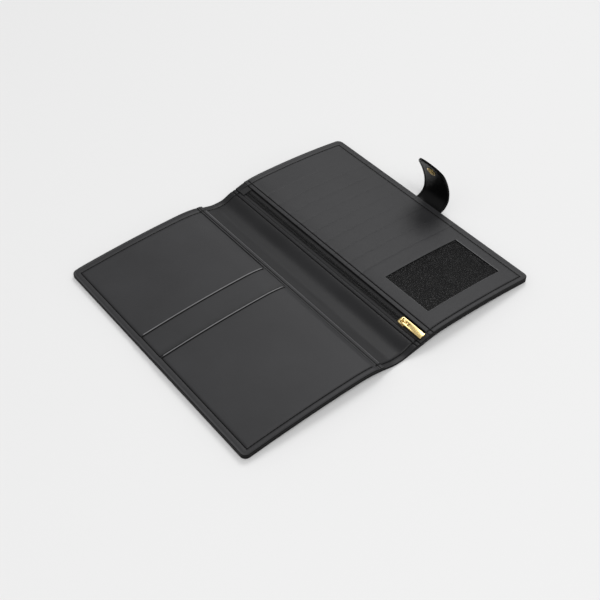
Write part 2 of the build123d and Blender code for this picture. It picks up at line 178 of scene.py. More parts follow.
def gridLines(low, high, step, extra=()):
    count = max(1, int(round((high - low) / step)))
    marks = sorted(list(np.linspace(low, high, count + 1)) + [e for e in extra if low < e < high])
    kept = [low]
    firm = set(round(e, 4) for e in extra)
    for mark in marks[1:]:
        if mark - kept[-1] > 0.35 * step or round(mark, 4) in firm:
            if round(mark, 4) not in firm or mark - kept[-1] > 0.012:
                kept.append(mark)
    if high - kept[-1] > 1e-6:
        kept[-1] = high if high - kept[-1] < 0.02 else kept[-1]
        if kept[-1] != high:
            kept.append(high)
    return np.array(kept)


def smoothStep(value, low, high):
    share = np.clip((value - low) / (high - low), 0, 1)
    return share * share * (3 - 2 * share)


def dip(value, at, width, depth):
    return -depth * np.exp(-(((value - at) / width) ** 2))


def roundCorners(x, y, box, radii):  # turns a square grid's corners into arcs, ring by ring
    x0, x1, y0, y1 = box
    places = [(x0, y0, 1, 1), (x1, y0, -1, 1), (x0, y1, 1, -1), (x1, y1, -1, -1)]
    outX, outY = x.copy(), y.copy()
    for radius, (cx, cy, sx, sy) in zip(radii, places):
        if radius <= 0:
            continue
        dx, dy = (x - cx) * sx, (y - cy) * sy
        inside = (dx < radius) & (dy < radius)
        ring = np.minimum(dx, dy)
        arm = np.maximum(radius - ring, 1e-9)
        angle = pi / 4 * np.minimum(1, np.maximum(radius - np.maximum(dx, dy), 0) / arm)
        near = np.cos(angle) * arm
        side = np.sin(angle) * arm
        px = np.where(dx <= dy, radius - near, radius - side)
        py = np.where(dx <= dy, radius - side, radius - near)
        outX = np.where(inside, cx + sx * px, outX)
        outY = np.where(inside, cy + sy * py, outY)
    return outX, outY


def addObject(name, data):
    item = bpy.data.objects.new(name, data)
    bpy.context.scene.collection.objects.link(item)
    return item


def meshObject(name, points, faces, uv=None, paintAndShade=None, material=None):
    mesh = bpy.data.meshes.new(name)
    mesh.from_pydata([tuple(p) for p in points], [], [tuple(int(i) for i in f) for f in faces])
    if uv is not None:
        layer = mesh.uv_layers.new(name="flat")
        index = np.zeros(len(mesh.loops), int)
        mesh.loops.foreach_get("vertex_index", index)
        layer.data.foreach_set("uv", np.asarray(uv, float)[index].ravel())
    if paintAndShade is not None:
        attribute = mesh.attributes.new("edgePaint", "FLOAT", "POINT")
        attribute.data.foreach_set("value", np.asarray(paintAndShade, np.float32))
    mesh.polygons.foreach_set("use_smooth", [True] * len(mesh.polygons))
    mesh.update()
    item = addObject(name, mesh)
    if material:
        mesh.materials.append(material)
    mesh.set_sharp_from_angle(angle=radians(50))
    return item


def leaf(name, box, low, high, material, place=onSheet, step=(2.0, 4.0), radii=(0, 0, 0, 0), edge=0.26,
         roundSides="lrnf", linesX=(), linesY=(), relief=None, under=None, hole=None, painted="", seams=None,
         black=None, worn=None):
    x0, x1, y0, y1 = box
    marks = [edge * share for share in roundSteps]
    extraX, extraY = list(linesX), list(linesY)
    extraX += [x0 + m for m in marks if "l" in roundSides] + [x1 - m for m in marks if "r" in roundSides]
    extraY += [y0 + m for m in marks if "n" in roundSides] + [y1 - m for m in marks if "f" in roundSides]
    if hole:
        extraX += [hole[0] - m for m in marks] + [hole[1] + m for m in marks]
        extraY += [hole[2] - m for m in marks] + [hole[3] + m for m in marks]
    xs, ys = gridLines(x0, x1, step[0], extraX), gridLines(y0, y1, step[1], extraY)
    gx, gy = np.meshgrid(xs, ys, indexing="ij")
    far = np.full(gx.shape, 1e3)
    sides = {"l": gx - x0, "r": x1 - gx, "n": gy - y0, "f": y1 - gy}
    for side in roundSides:
        far = np.minimum(far, sides[side])
    if hole:
        outX = np.maximum(hole[0] - gx, gx - hole[1])
        outY = np.maximum(hole[2] - gy, gy - hole[3])
        far = np.minimum(far, np.maximum(np.maximum(outX, outY), 0))
    curl = 1 - np.sqrt(np.clip(1 - (1 - np.clip(far / edge, 0, 1)) ** 2, 0, 1))
    top = high + (relief(gx, gy) if relief else 0) - edge * curl
    bottom = low + (under(gx, gy) if under else 0) + edge * curl
    px, py = roundCorners(gx, gy, box, radii)
    count = gx.size
    ids = np.arange(count).reshape(gx.shape)
    cellX, cellY = (xs[:-1] + xs[1:]) / 2, (ys[:-1] + ys[1:]) / 2
    keep = np.ones((len(xs) - 1, len(ys) - 1), bool)
    if hole:
        inX = (cellX > hole[0]) & (cellX < hole[1])
        inY = (cellY > hole[2]) & (cellY < hole[3])
        keep &= ~(inX[:, None] & inY[None, :])
    a, b, c, d = ids[:-1, :-1], ids[1:, :-1], ids[1:, 1:], ids[:-1, 1:]
    quads = np.stack([a, b, c, d], -1)[keep]
    walls = outerWalls(keep, ids, count)
    faces = np.concatenate([quads, quads[:, ::-1] + count, walls])
    points = np.concatenate([place(px, py, top).reshape(-1, 3), place(px, py, bottom).reshape(-1, 3)])
    uv = np.stack([px.ravel(), py.ravel()], -1) * 0.01
    rim = np.full(gx.shape, 1e3)
    for side in painted:
        rim = np.minimum(rim, sides[side])
    paintAndShade = 1 - smoothStep(rim.ravel(), edge * 0.6, edge * 1.3)
    # the top also takes the painted shade lines along seams and creases
    upper = np.maximum(paintAndShade, seams(gx, gy).ravel()) if seams else paintAndShade
    used = np.unique(faces)
    order = np.zeros(len(points), int)
    order[used] = np.arange(len(used))
    uv, paintAndShade = np.concatenate([uv, uv]), np.concatenate([upper, paintAndShade])  # the painted seam and crease shade lies on the top only
    item = meshObject(name, points[used], order[faces], uv[used], paintAndShade[used], material)
    if black:
        item.data.materials.append(black)
        # the black material goes on painted edges and on the darkest painted shade lines
        look = (paintAndShade[faces].mean(1) > 0.68).astype(int)
        if worn:  # edges painted lighter: a painted highlight where a fold or cut edge catches the light, with some real wear on folds
            item.data.materials.append(leather["worn"])
            wearAndHighlightMask = np.concatenate([worn(gx, gy).ravel(), np.zeros(count)])
            look = np.where((wearAndHighlightMask[faces].mean(1) > 0.5) & (look == 0), 2, look)
        item.data.polygons.foreach_set("material_index", look)
    return item


def outerWalls(keep, ids, count):  # quads that join the top to the underside wherever the grid ends
    padded = np.pad(keep, 1)
    walls = []
    for i, j in np.argwhere(keep):
        corners = [ids[i, j], ids[i + 1, j], ids[i + 1, j + 1], ids[i, j + 1]]
        beyond = [padded[i + 1, j], padded[i + 2, j + 1], padded[i + 1, j + 2], padded[i, j + 1]]
        for k in range(4):
            if not beyond[k]:
                p, q = corners[k], corners[(k + 1) % 4]
                walls.append([p, p + count, q + count, q])
    return np.array(walls)


def finish(piece, slot, *nodes):  # hides the CAD nodes that a piece stands for; slot is not used
    if nodes:
        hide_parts(*nodes)
    return piece


# shader graphs written as arithmetic


class Wire:
    def __init__(self, bench, socket):
        self.bench = bench
        self.socket = socket

    def combine(self, operation, other, swap=False):
        if isinstance(other, (int, float)) and self.socket.type != "VALUE":
            other = (other, other, other, 1)[: 4 if self.socket.type == "RGBA" else 3]
        pair = [other, self] if swap else [self, other]
        if self.socket.type == "VALUE":
            return self.bench.node("ShaderNodeMath", {"operation": operation}, {0: pair[0], 1: pair[1]})
        if self.socket.type == "RGBA":
            settings = {"data_type": "RGBA", "blend_type": operation}
            return self.bench.node("ShaderNodeMix", settings, {0: 1.0, 6: pair[0], 7: pair[1]}, 2)
        return self.bench.node("ShaderNodeVectorMath", {"operation": operation}, {0: pair[0], 1: pair[1]})

    def __add__(self, other):
        return self.combine("ADD", other)

    def __sub__(self, other):
        return self.combine("SUBTRACT", other)

    def __rsub__(self, other):
        return self.combine("SUBTRACT", other, True)

    def __mul__(self, other):
        return self.combine("MULTIPLY", other)

    __radd__ = __add__
    __rmul__ = __mul__


class Bench:
    def __init__(self, name):
        self.material = bpy.data.materials.new(name)
        self.material.use_nodes = True
        self.tree = self.material.node_tree
        self.tree.nodes.clear()

    def node(self, kind, settings=None, values=None, out=0):
        made = self.tree.nodes.new(kind)
        for key, value in (settings or {}).items():
            if key == "stops":
                self.setStops(made.color_ramp, value)
            else:
                setattr(made, key, value)
        for key, value in (values or {}).items():
            if isinstance(value, Wire):
                self.tree.links.new(value.socket, made.inputs[key])
            else:
                made.inputs[key].default_value = value
        return Wire(self, made.outputs[out]) if len(made.outputs) else made

    def setStops(self, ramp, stops):
        while len(ramp.elements) < len(stops):
            ramp.elements.new(0.5)
        for element, (position, shade) in zip(ramp.elements, stops):
            element.position = position
            element.color = (shade, shade, shade, 1) if isinstance(shade, float) else (*shade, 1)

    def ramp(self, value, *stops):
        return self.node("ShaderNodeValToRGB", {"stops": stops}, {0: value})

    def blend(self, factor, first, second):
        values = {0: factor, 6: first, 7: second}
        return self.node("ShaderNodeMix", {"data_type": "RGBA"}, values, 2)

    def bump(self, height, distance, strength=1.0, normal=None):
        values = {"Height": height, "Distance": distance, "Strength": strength}
        if normal:
            values["Normal"] = normal
        return self.node("ShaderNodeBump", None, values)

    def surface(self, values):
        shader = self.node("ShaderNodeBsdfPrincipled", None, values)
        self.node("ShaderNodeOutputMaterial", None, {"Surface": shader})
        return self.material


# leather

leatherLooks = {  # linear colours; grain is the size of a cell in mm
    "panel": {"dark": (0.017, 0.017, 0.0182), "light": (0.033, 0.033, 0.0352), "rough": 0.5,
              "gloss": 0.33, "grain": 0.7, "depth": 0.08, "cell": 0.4},
    "lining": {"dark": (0.009, 0.009, 0.0098), "light": (0.017, 0.017, 0.0183), "rough": 0.46,
               "gloss": 0.27, "grain": 0.7, "depth": 0.06, "cell": 0.4},
    "cover": {"dark": (0.016, 0.016, 0.017), "light": (0.024, 0.024, 0.025), "rough": 0.5,
              "gloss": 0.34, "grain": 0.7, "depth": 0.06, "cell": 0.5},
    # near black, far darker than the other leather: painted shade for the strap's shaded inner face
    "strap": {"dark": (0.0025, 0.0025, 0.0026), "light": (0.005, 0.005, 0.0051), "rough": 0.4,
              "gloss": 0.15, "grain": 0.6, "depth": 0.04, "cell": 0.5},
    "backing": {"dark": (0.002, 0.002, 0.0021), "light": (0.004, 0.004, 0.0043), "rough": 0.4,
                "gloss": 0.11, "grain": 2.1, "depth": 0.35, "cell": 0.9},
    # painted highlight: far lighter leather for fold and cut edges that catch the light, with some real wear
    # on folds
    "worn": {"dark": (0.13, 0.13, 0.134), "light": (0.2, 0.2, 0.205), "rough": 0.42,
             "gloss": 0.5, "grain": 0.5, "depth": 0.02, "cell": 0.3},
    # black edge paint, also put on the faces of painted shade in seams and creases
    "edge": {"dark": (0.0015, 0.0015, 0.0015), "light": (0.003, 0.003, 0.003), "rough": 0.45,
             "gloss": 0.05, "grain": 0.7, "depth": 0.02, "cell": 0.3},
}
# black edge paint; the same colour also serves as painted shade along seams and creases
edgePaint = {"colour": (0.006, 0.006, 0.0062), "rough": 0.4}


def leatherMaterial(name, look):  # pebbled grain with fine pores, darker where an edge is painted black and where painted shade lies along seams and creases
    bench = Bench(name)
    spot = bench.node("ShaderNodeUVMap", {"uv_map": "flat"})
    scale = 100 / look["grain"]
    stray = bench.node("ShaderNodeTexNoise", None, {"Vector": spot, "Scale": scale * 0.35, "Detail": 2.0}, 1)
    offset = bench.node("ShaderNodeVectorMath", {"operation": "SUBTRACT"}, {0: stray, 1: (0.5, 0.5, 0.5)})
    warped = spot + offset * ((0.9 / scale,) * 3)
    cells = bench.node("ShaderNodeTexVoronoi", {"feature": "DISTANCE_TO_EDGE"},
                       {"Vector": warped, "Scale": scale})
    pebble = bench.ramp(cells, (0.0, 0.0), (0.28, 0.85), (0.7, 1.0))
    pores = bench.node("ShaderNodeTexNoise", None, {"Vector": spot, "Scale": scale * 2.6, "Detail": 4.0,
                                                    "Roughness": 0.6})
    cloud = bench.node("ShaderNodeTexNoise", None, {"Vector": spot, "Scale": scale * 0.011, "Detail": 3.0})
    height = pebble * look["cell"] + pores * (1 - look["cell"] * 0.6)
    paintAndShade = bench.node("ShaderNodeAttribute", {"attribute_name": "edgePaint"}, None, 2)
    tone = bench.ramp(cloud * 0.7 + height * 0.3, (0.25, look["dark"]), (0.75, look["light"]))
    rough = look["rough"] + (cloud - 0.5) * 0.12 + (pores - 0.5) * 0.14
    return bench.surface({
        "Base Color": bench.blend(paintAndShade, tone, (*edgePaint["colour"], 1.0)),
        "Roughness": rough + paintAndShade * (edgePaint["rough"] - look["rough"]),
        "Normal": bench.bump(height, look["depth"] * mm),
        "Specular IOR Level": look["gloss"],
    })


leather = {key: leatherMaterial(key + "Leather", look) for key, look in leatherLooks.items()}

# fabric, coil, metal, board, film, thread

clothLooks = {
    "tape": {"dark": (0.004, 0.004, 0.0042), "light": (0.02, 0.02, 0.021), "thread": 0.42, "rough": 0.8},
    "pocket": {"dark": (0.01, 0.01, 0.011), "light": (0.035, 0.035, 0.037), "thread": 0.3, "rough": 0.85},
}


def clothMaterial(name, look, slant):  # rows of yarn that lean one way and then the other
    bench = Bench(name)
    spot = bench.node("ShaderNodeUVMap", {"uv_map": "flat"})
    split = bench.node("ShaderNodeSeparateXYZ", None, {0: spot})
    across = Wire(bench, split.socket.node.outputs[0])
    along = Wire(bench, split.socket.node.outputs[1])
    rib = bench.node("ShaderNodeMath", {"operation": "PINGPONG"}, {0: across, 1: 0.016})
    turns = (along + rib * slant) * (2 * pi * 100 / look["thread"])
    wave = bench.node("ShaderNodeMath", {"operation": "SINE"}, {0: turns})
    rows = across * (2 * pi * 100 / look["thread"])
    crossing = bench.node("ShaderNodeMath", {"operation": "SINE"}, {0: rows})
    weave = wave * 0.35 + crossing * 0.15 + 0.5
    fuzz = bench.node("ShaderNodeTexNoise", None, {"Vector": spot, "Scale": 900.0, "Detail": 3.0})
    tone = bench.ramp(weave * 0.7 + fuzz * 0.3, (0.2, look["dark"]), (0.8, look["light"]))
    return bench.surface({
        "Base Color": tone,
        "Roughness": look["rough"] + (fuzz - 0.5) * 0.1,
        "Normal": bench.bump(weave + fuzz * 0.3, 0.06 * mm),
    })


plainLooks = {  # scale is the noise's, in cells per metre; depth is the bump's, in mm
    "coilNylon": {"dark": (0.003, 0.003, 0.0032), "light": (0.007, 0.007, 0.0073), "rough": 0.34,
                  "scale": 900.0, "depth": 0.01, "gloss": 0.3},
    "gold": {"dark": (0.9, 0.67, 0.28), "light": (0.95, 0.75, 0.36), "rough": 0.27,
             "scale": 700.0, "depth": 0.0015, "metallic": 1.0},
    # dark metal as painted shade: a sheet under the slider's roof slots and a disc in the snap socket's well
    "darkRecess": {"dark": (0.02, 0.016, 0.01), "light": (0.03, 0.024, 0.014), "rough": 0.5,
                   "scale": 700.0, "depth": 0.004, "metallic": 1.0},
    "greyBoard": {"dark": (0.3, 0.26, 0.2), "light": (0.4, 0.35, 0.27), "rough": 0.85,
                  "scale": 500.0, "depth": 0.05},
    "thread": {"dark": (0.002, 0.002, 0.0021), "light": (0.005, 0.005, 0.0052), "rough": 0.6,
               "scale": 2500.0, "depth": 0.03, "gloss": 0.06},
    "clearFilm": {"dark": (0.05, 0.05, 0.05), "light": (0.08, 0.08, 0.08), "rough": 0.25,
                  "scale": 60.0, "depth": 0.01, "gloss": 0.3, "alpha": 0.02},
}


def plainMaterial(name):
    look = plainLooks[name]
    bench = Bench(name)
    spot = bench.node("ShaderNodeTexCoord", None, None, 3)
    coarse = {"Vector": spot, "Scale": look["scale"], "Detail": 4.0}
    cloud = bench.node("ShaderNodeTexNoise", None, coarse)
    fine = bench.node("ShaderNodeTexNoise", None, dict(coarse, Scale=look["scale"] * 7, Detail=3.0))
    return bench.surface({
        "Base Color": bench.ramp(cloud, (0.3, look["dark"]), (0.7, look["light"])),
        "Roughness": look["rough"] + (fine - 0.5) * 0.12 + (cloud - 0.5) * 0.1,
        "Metallic": look.get("metallic", 0.0),
        "Specular IOR Level": look.get("gloss", 0.5),
        "Alpha": look.get("alpha", 1.0),
        "Normal": bench.bump(fine, look["depth"] * mm),
    })


tapeCloth = clothMaterial("tapeCloth", clothLooks["tape"], 1.0)
pocketCloth = clothMaterial("pocketCloth", clothLooks["pocket"], 0.0)
coilNylon, gold, darkRecess, greyBoard, thread, clearFilm = [plainMaterial(name) for name in plainLooks]
print("materials made")

# the fold lines, and a reach to either side of each; the pieces are baked in place, not bent

spineSpan = flatSpan("spine_leather")
foldZone = {"reach": 7.0, "gap": 0.1}
leftFold = spineSpan[0] - foldZone["gap"]
rightFold = spineSpan[1] + foldZone["gap"]
spineMiddle = (leftFold + rightFold) / 2


def bendLeft(piece):
    start = (leftEdge + leftFold - foldZone["reach"]) * mm
    end = (leftEdge + leftFold + foldZone["reach"]) * mm
    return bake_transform(piece)


def bendRight(piece):
    start = (leftEdge + rightFold - foldZone["reach"]) * mm
    end = (leftEdge + rightFold + foldZone["reach"]) * mm
    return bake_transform(piece)


# the sewn border that runs round both covers

border = {
    "radius": 4.5,  # the wallet's outer corners
    "side": 5.4,  # seam's distance from the left and right edges
    "near": 4.7,
    "far": 5.4,
    "seamDepth": 0.42,
    "seamWidth": 0.75,
    "bead": 1.5,  # the turned edge stands up this far in
    "beadHeight": 0.36,
    "creaseAt": 0.36,  # share of the seam's distance
    "creaseDepth": 0.07,
}
innerSeam = {"width": 0.45, "depth": 0.26}  # the lines sewn beside the zip
seamMarks = [0.0, 0.12, 0.24, 0.3, 0.36, 0.42, 0.5, 0.65, 0.82, 0.9, 0.95, 1.0, 1.05, 1.1, 1.2, 1.4, 1.8]


def borderShare(x, y, near=None):  # 1 on the seam, 0 at the wallet's edge
    near = near or border["near"]
    sides = np.minimum(x, walletWidth - x) / border["side"]
    return np.minimum(sides, np.minimum(y / near, (walletHeight - y) / border["far"]))


def borderRelief(x, y, near=None):
    share = borderShare(x, y, near)
    away = share * border["side"]
    seam = dip(away, border["side"], border["seamWidth"], border["seamDepth"])
    crease = dip(share, border["creaseAt"], 0.05, border["creaseDepth"])
    bead = border["beadHeight"] * (1 - smoothStep(away, 0.3, border["bead"]))
    return seam + crease + bead


def seamShade(away):  # painted shade in the seam's groove, where the thread pulls the leather in
    return 0.85 * np.exp(-((away / border["seamWidth"]) ** 2))


def borderSeamShade(x, y, near=None):
    return seamShade((borderShare(x, y, near) - 1) * border["side"])


def borderLinesX(left=True, right=True):
    marks = [border["side"] * m for m in seamMarks]
    return (marks if left else []) + ([walletWidth - m for m in marks] if right else [])


def borderLinesY(near=None):
    near = near or border["near"]
    return [near * m for m in seamMarks] + [walletHeight - border["far"] * m for m in seamMarks]


# outer leather

coverEdge = {"hemIn": 5.0, "hemOut": 6.2, "underSeam": 0.14}


def coverTop(x, y):
    away = borderShare(x, y) * border["side"]
    folded = 1 - smoothStep(away, coverEdge["hemIn"], coverEdge["hemOut"])
    hem = (lifts["hem"] - lifts["cover"][1]) * folded
    clear = 1 - smoothStep(x, liningLeftStart - 3, liningLeftStart - 1)
    clear = clear + smoothStep(x, trenchRight + 1, trenchRight + 3)
    return hem * clear


def coverUnder(x, y):
    away = borderShare(x, y) * border["side"]
    return -dip(away, border["side"], border["seamWidth"], coverEdge["underSeam"])


def buildCovers():
    low, high = lifts["cover"]
    r = border["radius"]
    common = {"relief": coverTop, "under": coverUnder, "step": (1.5, 4.0), "edge": 0.42,
              "linesY": borderLinesY(), "material": leather["cover"], "black": leather["edge"]}
    left = leaf("cover_left", (0, spineMiddle, 0, walletHeight), low, high, radii=(r, 0, r, 0),
                roundSides="lnf", linesX=borderLinesX(right=False), painted="lnf", **common)
    right = leaf("cover_right", (spineMiddle, walletWidth, 0, walletHeight), low, high, radii=(0, r, 0, r),
                 roundSides="rnf", linesX=borderLinesX(left=False), painted="rnf", **common)
    bendLeft(finish(left, "cover_leather", "left_cover_leather"))
    bendRight(finish(right, "cover_leather", "right_cover_leather", "spine_leather"))


# spine lining

lining = {
    "riseStart": 139.5,
    "riseEnd": 149.5,
    "puff": 0.26,  # how the lining stands off the cover between its seams
    "trenchRoll": 1.6,
    "rollDepth": 0.5,
    "stitchFromTrench": 3.4,
    "seamDepth": 0.28,
    "wave": 0.12,
    "freeWidth": 7.0,
}
liningStitch = trenchLeft - lining["stitchFromTrench"]


def liningRise(x):
    climb = lifts["liningHigh"][1] - lifts["lining"][1]
    return climb * smoothStep(x, lining["riseStart"], lining["riseEnd"])


def liningTop(x, y):
    away = borderShare(x, y) * border["side"]
    free = lining["freeWidth"]  # how far from a seam the lining comes loose
    loose = smoothStep(x, backPanelEnd + 0.5, backPanelEnd + free)
    loose = loose * (1 - smoothStep(x, liningStitch - free, liningStitch))
    loose = loose * smoothStep(away, border["side"], border["side"] + 9)
    ripple = np.sin(y / 17.0 + 0.8 * np.sin(x / 7.0)) * np.sin(x / 5.5 + y / 60)
    seam = dip(x, liningStitch, innerSeam["width"], lining["seamDepth"])
    roll = -lining["rollDepth"] * smoothStep(x, trenchLeft - lining["trenchRoll"], trenchLeft) ** 2
    edgeSeam = dip(away, border["side"], border["seamWidth"], border["seamDepth"])
    return liningRise(x) + (lining["puff"] + lining["wave"] * ripple) * loose + seam + roll + edgeSeam


def liningUnder(x, y):  # rides the cover, and fills down to it along the near and far edges
    away = borderShare(x, y) * border["side"]
    return liningRise(x) * smoothStep(away, border["side"] - 1, border["side"] + 1)


def liningSeamShade(x, y):
    return np.maximum(borderSeamShade(x, y), seamShade(x - liningStitch))


def buildLining():
    low, high = lifts["lining"]
    common = {"relief": liningTop, "under": liningUnder, "step": (1.0, 2.5), "edge": 0.28,
              "linesY": borderLinesY(), "material": leather["lining"], "painted": "nf",
              "seams": liningSeamShade, "black": leather["edge"]}
    fine = [liningStitch + k * 0.2 for k in range(-6, 7)] + [trenchLeft - k * 0.25 for k in range(1, 8)]
    left = leaf("lining_left", (liningLeftStart, spineMiddle, 0, walletHeight), low, high,
                roundSides="lnf", linesX=[backPanelEnd + k * 0.5 for k in range(6)], **common)
    right = leaf("lining_right", (spineMiddle, trenchLeft, 0, walletHeight), low, high,
                 roundSides="rnf", linesX=fine, **common)
    bendLeft(finish(left, "lining_leather", "spine_lining_left"))
    bendRight(finish(right, "lining_leather", "spine_lining_right", "spine_lining"))


zipEnd = {"farDepth": 5.2, "patchLength": 5.7, "patchThick": 0.14}


def buildZipEnds():  # short bridges that close the zip's channel at the near and far edges
    low, high = lifts["lining"][0], lifts["liningHigh"][1]
    climb = lifts["face"][1] - high
    far = walletHeight - zipEnd["farDepth"]
    for name, y0, y1, outside in (("near", 0, border["near"], "n"), ("far", far, walletHeight, "f")):
        box = (trenchLeft + 0.02, trenchRight - 0.02, y0, y1)
        piece = leaf("zip_end_" + name, box, low, high, leather["lining"],
                     step=(0.6, 0.6), edge=0.3, roundSides="nf", painted=outside, black=leather["edge"],
                     linesY=borderLinesY(), seams=borderSeamShade,
                     relief=lambda x, y: climb * (0.45 + 0.5 * smoothStep(x, trenchLeft + 0.5, trenchRight))
                     + dip(borderShare(x, y) - 1, 0, 0.1, 0.2))
        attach(finish(piece, "lining_leather"), "right_cover")
    low = lifts["coil"][1] + 0.06
    y1 = far + 0.1
    box = (trenchLeft + 0.3, trenchRight - 0.3, y1 - zipEnd["patchLength"], y1)
    patch = leaf("zip_end_patch", box, low, low + zipEnd["patchThick"], tapeCloth, step=(0.8, 0.8), edge=0.06)
    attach(finish(patch, "zip_tape"), "right_cover")


# left cover's pockets

pockets = {
    "mouthCrease": 1.55,
    "mouthShade": 0.55,
    "lineWidth": 0.85,
    "mouthDepth": 0.24,
    "mouthBead": 0.26,
    # half-width of the painted highlight band along a pocket's mouth
    "mouthWorn": 0.42,
    "slackHeight": 0.25,  # pockets stand a little open in the middle of their mouths
    "sideDrop": 0.45,
    "plainDrop": 0.1,
    "sideRun": 3.5,
    "bindingCrown": 0.28,
    "bindingSeam": 1.5,  # from the strip's left edge
}


def mouthRelief(x, y, mouth):
    away = mouth - y
    bead = pockets["mouthBead"] * (1 - smoothStep(away, 0.2, 1.0))
    crease = dip(away, pockets["mouthCrease"], 0.22, pockets["mouthDepth"])
    clear = smoothStep(x, border["side"], border["side"] + 1.5)
    return (bead + crease) * clear * (1 - smoothStep(x, pocketEnd - 3, pocketEnd))


# painted highlight along each pocket's folded mouth, where the turned edge catches the light, with some real
# wear
def mouthWearAndHighlight(mouth):
    def worn(x, y):
        clear = (x > border["side"] + 1.5) & (x < pocketEnd - 1.5)
        return (np.abs(mouth - y - 0.4) < pockets["mouthWorn"]) & clear
    return worn if mouth < walletHeight else None


def pocketShadeLines(mouth):
    def seams(x, y):
        # painted shade: a line along the crease under the mouth, the shadow the lower pocket throws, and the
        # border seam's groove
        lines = [mouth - pockets["mouthCrease"]] if mouth < walletHeight else []
        if lines and mouth > lowerMouth:  # the shade that the pocket in front throws on this one
            lines.append(lowerMouth + pockets["mouthShade"])
        inside = (x > border["side"]) & (x < pocketEnd - 0.5)
        shade = [0.95 * np.exp(-(((y - line) / pockets["lineWidth"]) ** 2)) * inside for line in lines]
        return np.maximum.reduce([borderSeamShade(x, y)] + shade)
    return seams


def pocketTuck(x, drop):  # a pocket lies down where the spine binding takes hold of it
    return drop * smoothStep(x, pocketEnd - pockets["sideRun"], pocketEnd - 0.3)


def pocketRelief(mouth, drop):
    def relief(x, y):
        middle = np.sin(np.clip((x - border["side"]) / (pocketEnd - border["side"]), 0, 1) * pi)
        slack = pockets["slackHeight"] * middle * smoothStep(y, mouth - 30, mouth) * (mouth < walletHeight)
        return borderRelief(x, y) + mouthRelief(x, y, mouth) + slack - pocketTuck(x, drop)
    return relief


def rimUnder(low, base):  # along the border a layer reaches down to the one beneath it
    def under(x, y):
        away = borderShare(x, y) * border["side"]
        return (base - low) * (1 - smoothStep(away, border["side"] - 1.2, border["side"] - 0.4))
    return under


def buildLeftPanels():
    r = border["radius"]
    rows = [  # name, layer, top of what lies under it, mouth, how far its side lies down, far corner
        ("back_panel", "backPanel", lifts["hem"] + 0.02, walletHeight, 0.0, r),
        ("middle_pocket", "middlePocket", lifts["backPanel"][1] + 0.01, middleMouth, pockets["plainDrop"], 0),
        ("lower_pocket", "lowerPocket", lifts["middlePocket"][1] + 0.01, lowerMouth, pockets["sideDrop"], 0),
    ]
    around = [k * 0.17 for k in range(-4, 5)]
    for name, layer, base, mouth, drop, farRadius in rows:
        node = "left_" + name
        x1 = flatSpan(node)[1]
        low, high = lifts[layer]
        marks = [mouth - pockets["mouthCrease"] + k for k in around] + [mouth - 0.5, mouth - 0.8]
        marks += [lowerMouth + pockets["mouthShade"] + k for k in around]
        rim = "ln" if mouth < walletHeight else "lnf"
        piece = leaf(name, (0, x1, 0, mouth), low, high, leather["panel"], radii=(r, 0, farRadius, 0),
                     step=(2.0, 3.0),
                     linesX=borderLinesX(right=False) + [pocketEnd - k * 0.5 for k in range(1, 8)],
                     linesY=borderLinesY() + marks, painted=rim, black=leather["edge"],
                     relief=pocketRelief(mouth, drop), under=rimUnder(low, base),
                     seams=pocketShadeLines(mouth), worn=mouthWearAndHighlight(mouth))
        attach(finish(piece, "panel_leather", node), "left_cover")
    buildBinding()


def buildBinding():  # the strip that closes the pockets on the spine's side
    x0, x1, y0, y1 = flatSpan("left_spine_binding")
    low, high = lifts["middlePocket"]
    sewn = x0 + pockets["bindingSeam"]

    def bindingRelief(x, y):
        across = np.clip((x - x0) / (x1 - x0), 0, 1)
        away = borderShare(x, y) * border["side"]
        seam = dip(away, border["side"], border["seamWidth"], border["seamDepth"])
        return pockets["bindingCrown"] * np.sin(across * pi) + seam + dip(x, sewn, 0.3, 0.16)

    strip = leaf("spine_binding", (x0 - 0.15, x1, y0, y1), low, high, leather["panel"], step=(0.35, 3.0),
                 linesY=borderLinesY(), painted="lnf", black=leather["edge"], relief=bindingRelief,
                 under=rimUnder(low, lifts["backPanel"][1] + 0.01),
                 seams=lambda x, y: np.maximum(borderSeamShade(x, y), seamShade(x - sewn)),
                 # painted highlight along the strip's right fold, where it catches the light
                 worn=lambda x, y: (np.abs(x1 - 0.7 - x) < 0.36) & (borderShare(x, y) > 1.1))
    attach(finish(strip, "panel_leather", "left_spine_binding"), "left_cover")


# right cover's panels

cards = {
    "trenchSeam": 3.6,  # from the channel's edge to the seam beside it
    "slotDrop": 0.34,
    "fieldDrop": 0.3,
    "slotCrease": 1.0,
    "near": 4.2,  # the near seam's distance from the edge on this side
    "thick": 1.05,
}
window = {"margin": 4.0}  # the backing runs this far under the frame
trenchSeam = trenchRight + cards["trenchSeam"]
seamLines = [trenchSeam + k * 0.2 for k in range(-6, 7)]


def insideSeams(x):  # 1 between the seams at left and right, 0 on them
    sides = smoothStep(x, trenchSeam, trenchSeam + 2.5)
    return sides * (1 - smoothStep(x, walletWidth - 7.5, walletWidth - 5.5))


def rightRelief(x, y):
    seam = dip(x, trenchSeam, innerSeam["width"], innerSeam["depth"])
    lip = 0.1 * (1 - smoothStep(x - trenchRight, 0.2, 1.4))
    return borderRelief(x, y, cards["near"]) + seam + lip


def cardRelief(y0, y1):
    def relief(x, y):
        share = np.clip((y - y0) / (y1 - y0), 0, 1)
        crease = dip(y1 - y, cards["slotCrease"], 0.2, 0.07)
        return rightRelief(x, y) + (crease - cards["slotDrop"] * (1 - share) ** 1.3) * insideSeams(x)
    return relief


def rightSeamShade(x, y):
    return np.maximum(borderSeamShade(x, y, cards["near"]), seamShade(x - trenchSeam))


def fieldRelief(x, y):  # the plain leather past the last slot lies a little lower than the border
    inside = insideSeams(x) * (1 - smoothStep(y, walletHeight - 7.5, walletHeight - 5.5))
    return rightRelief(x, y) - cards["fieldDrop"] * inside


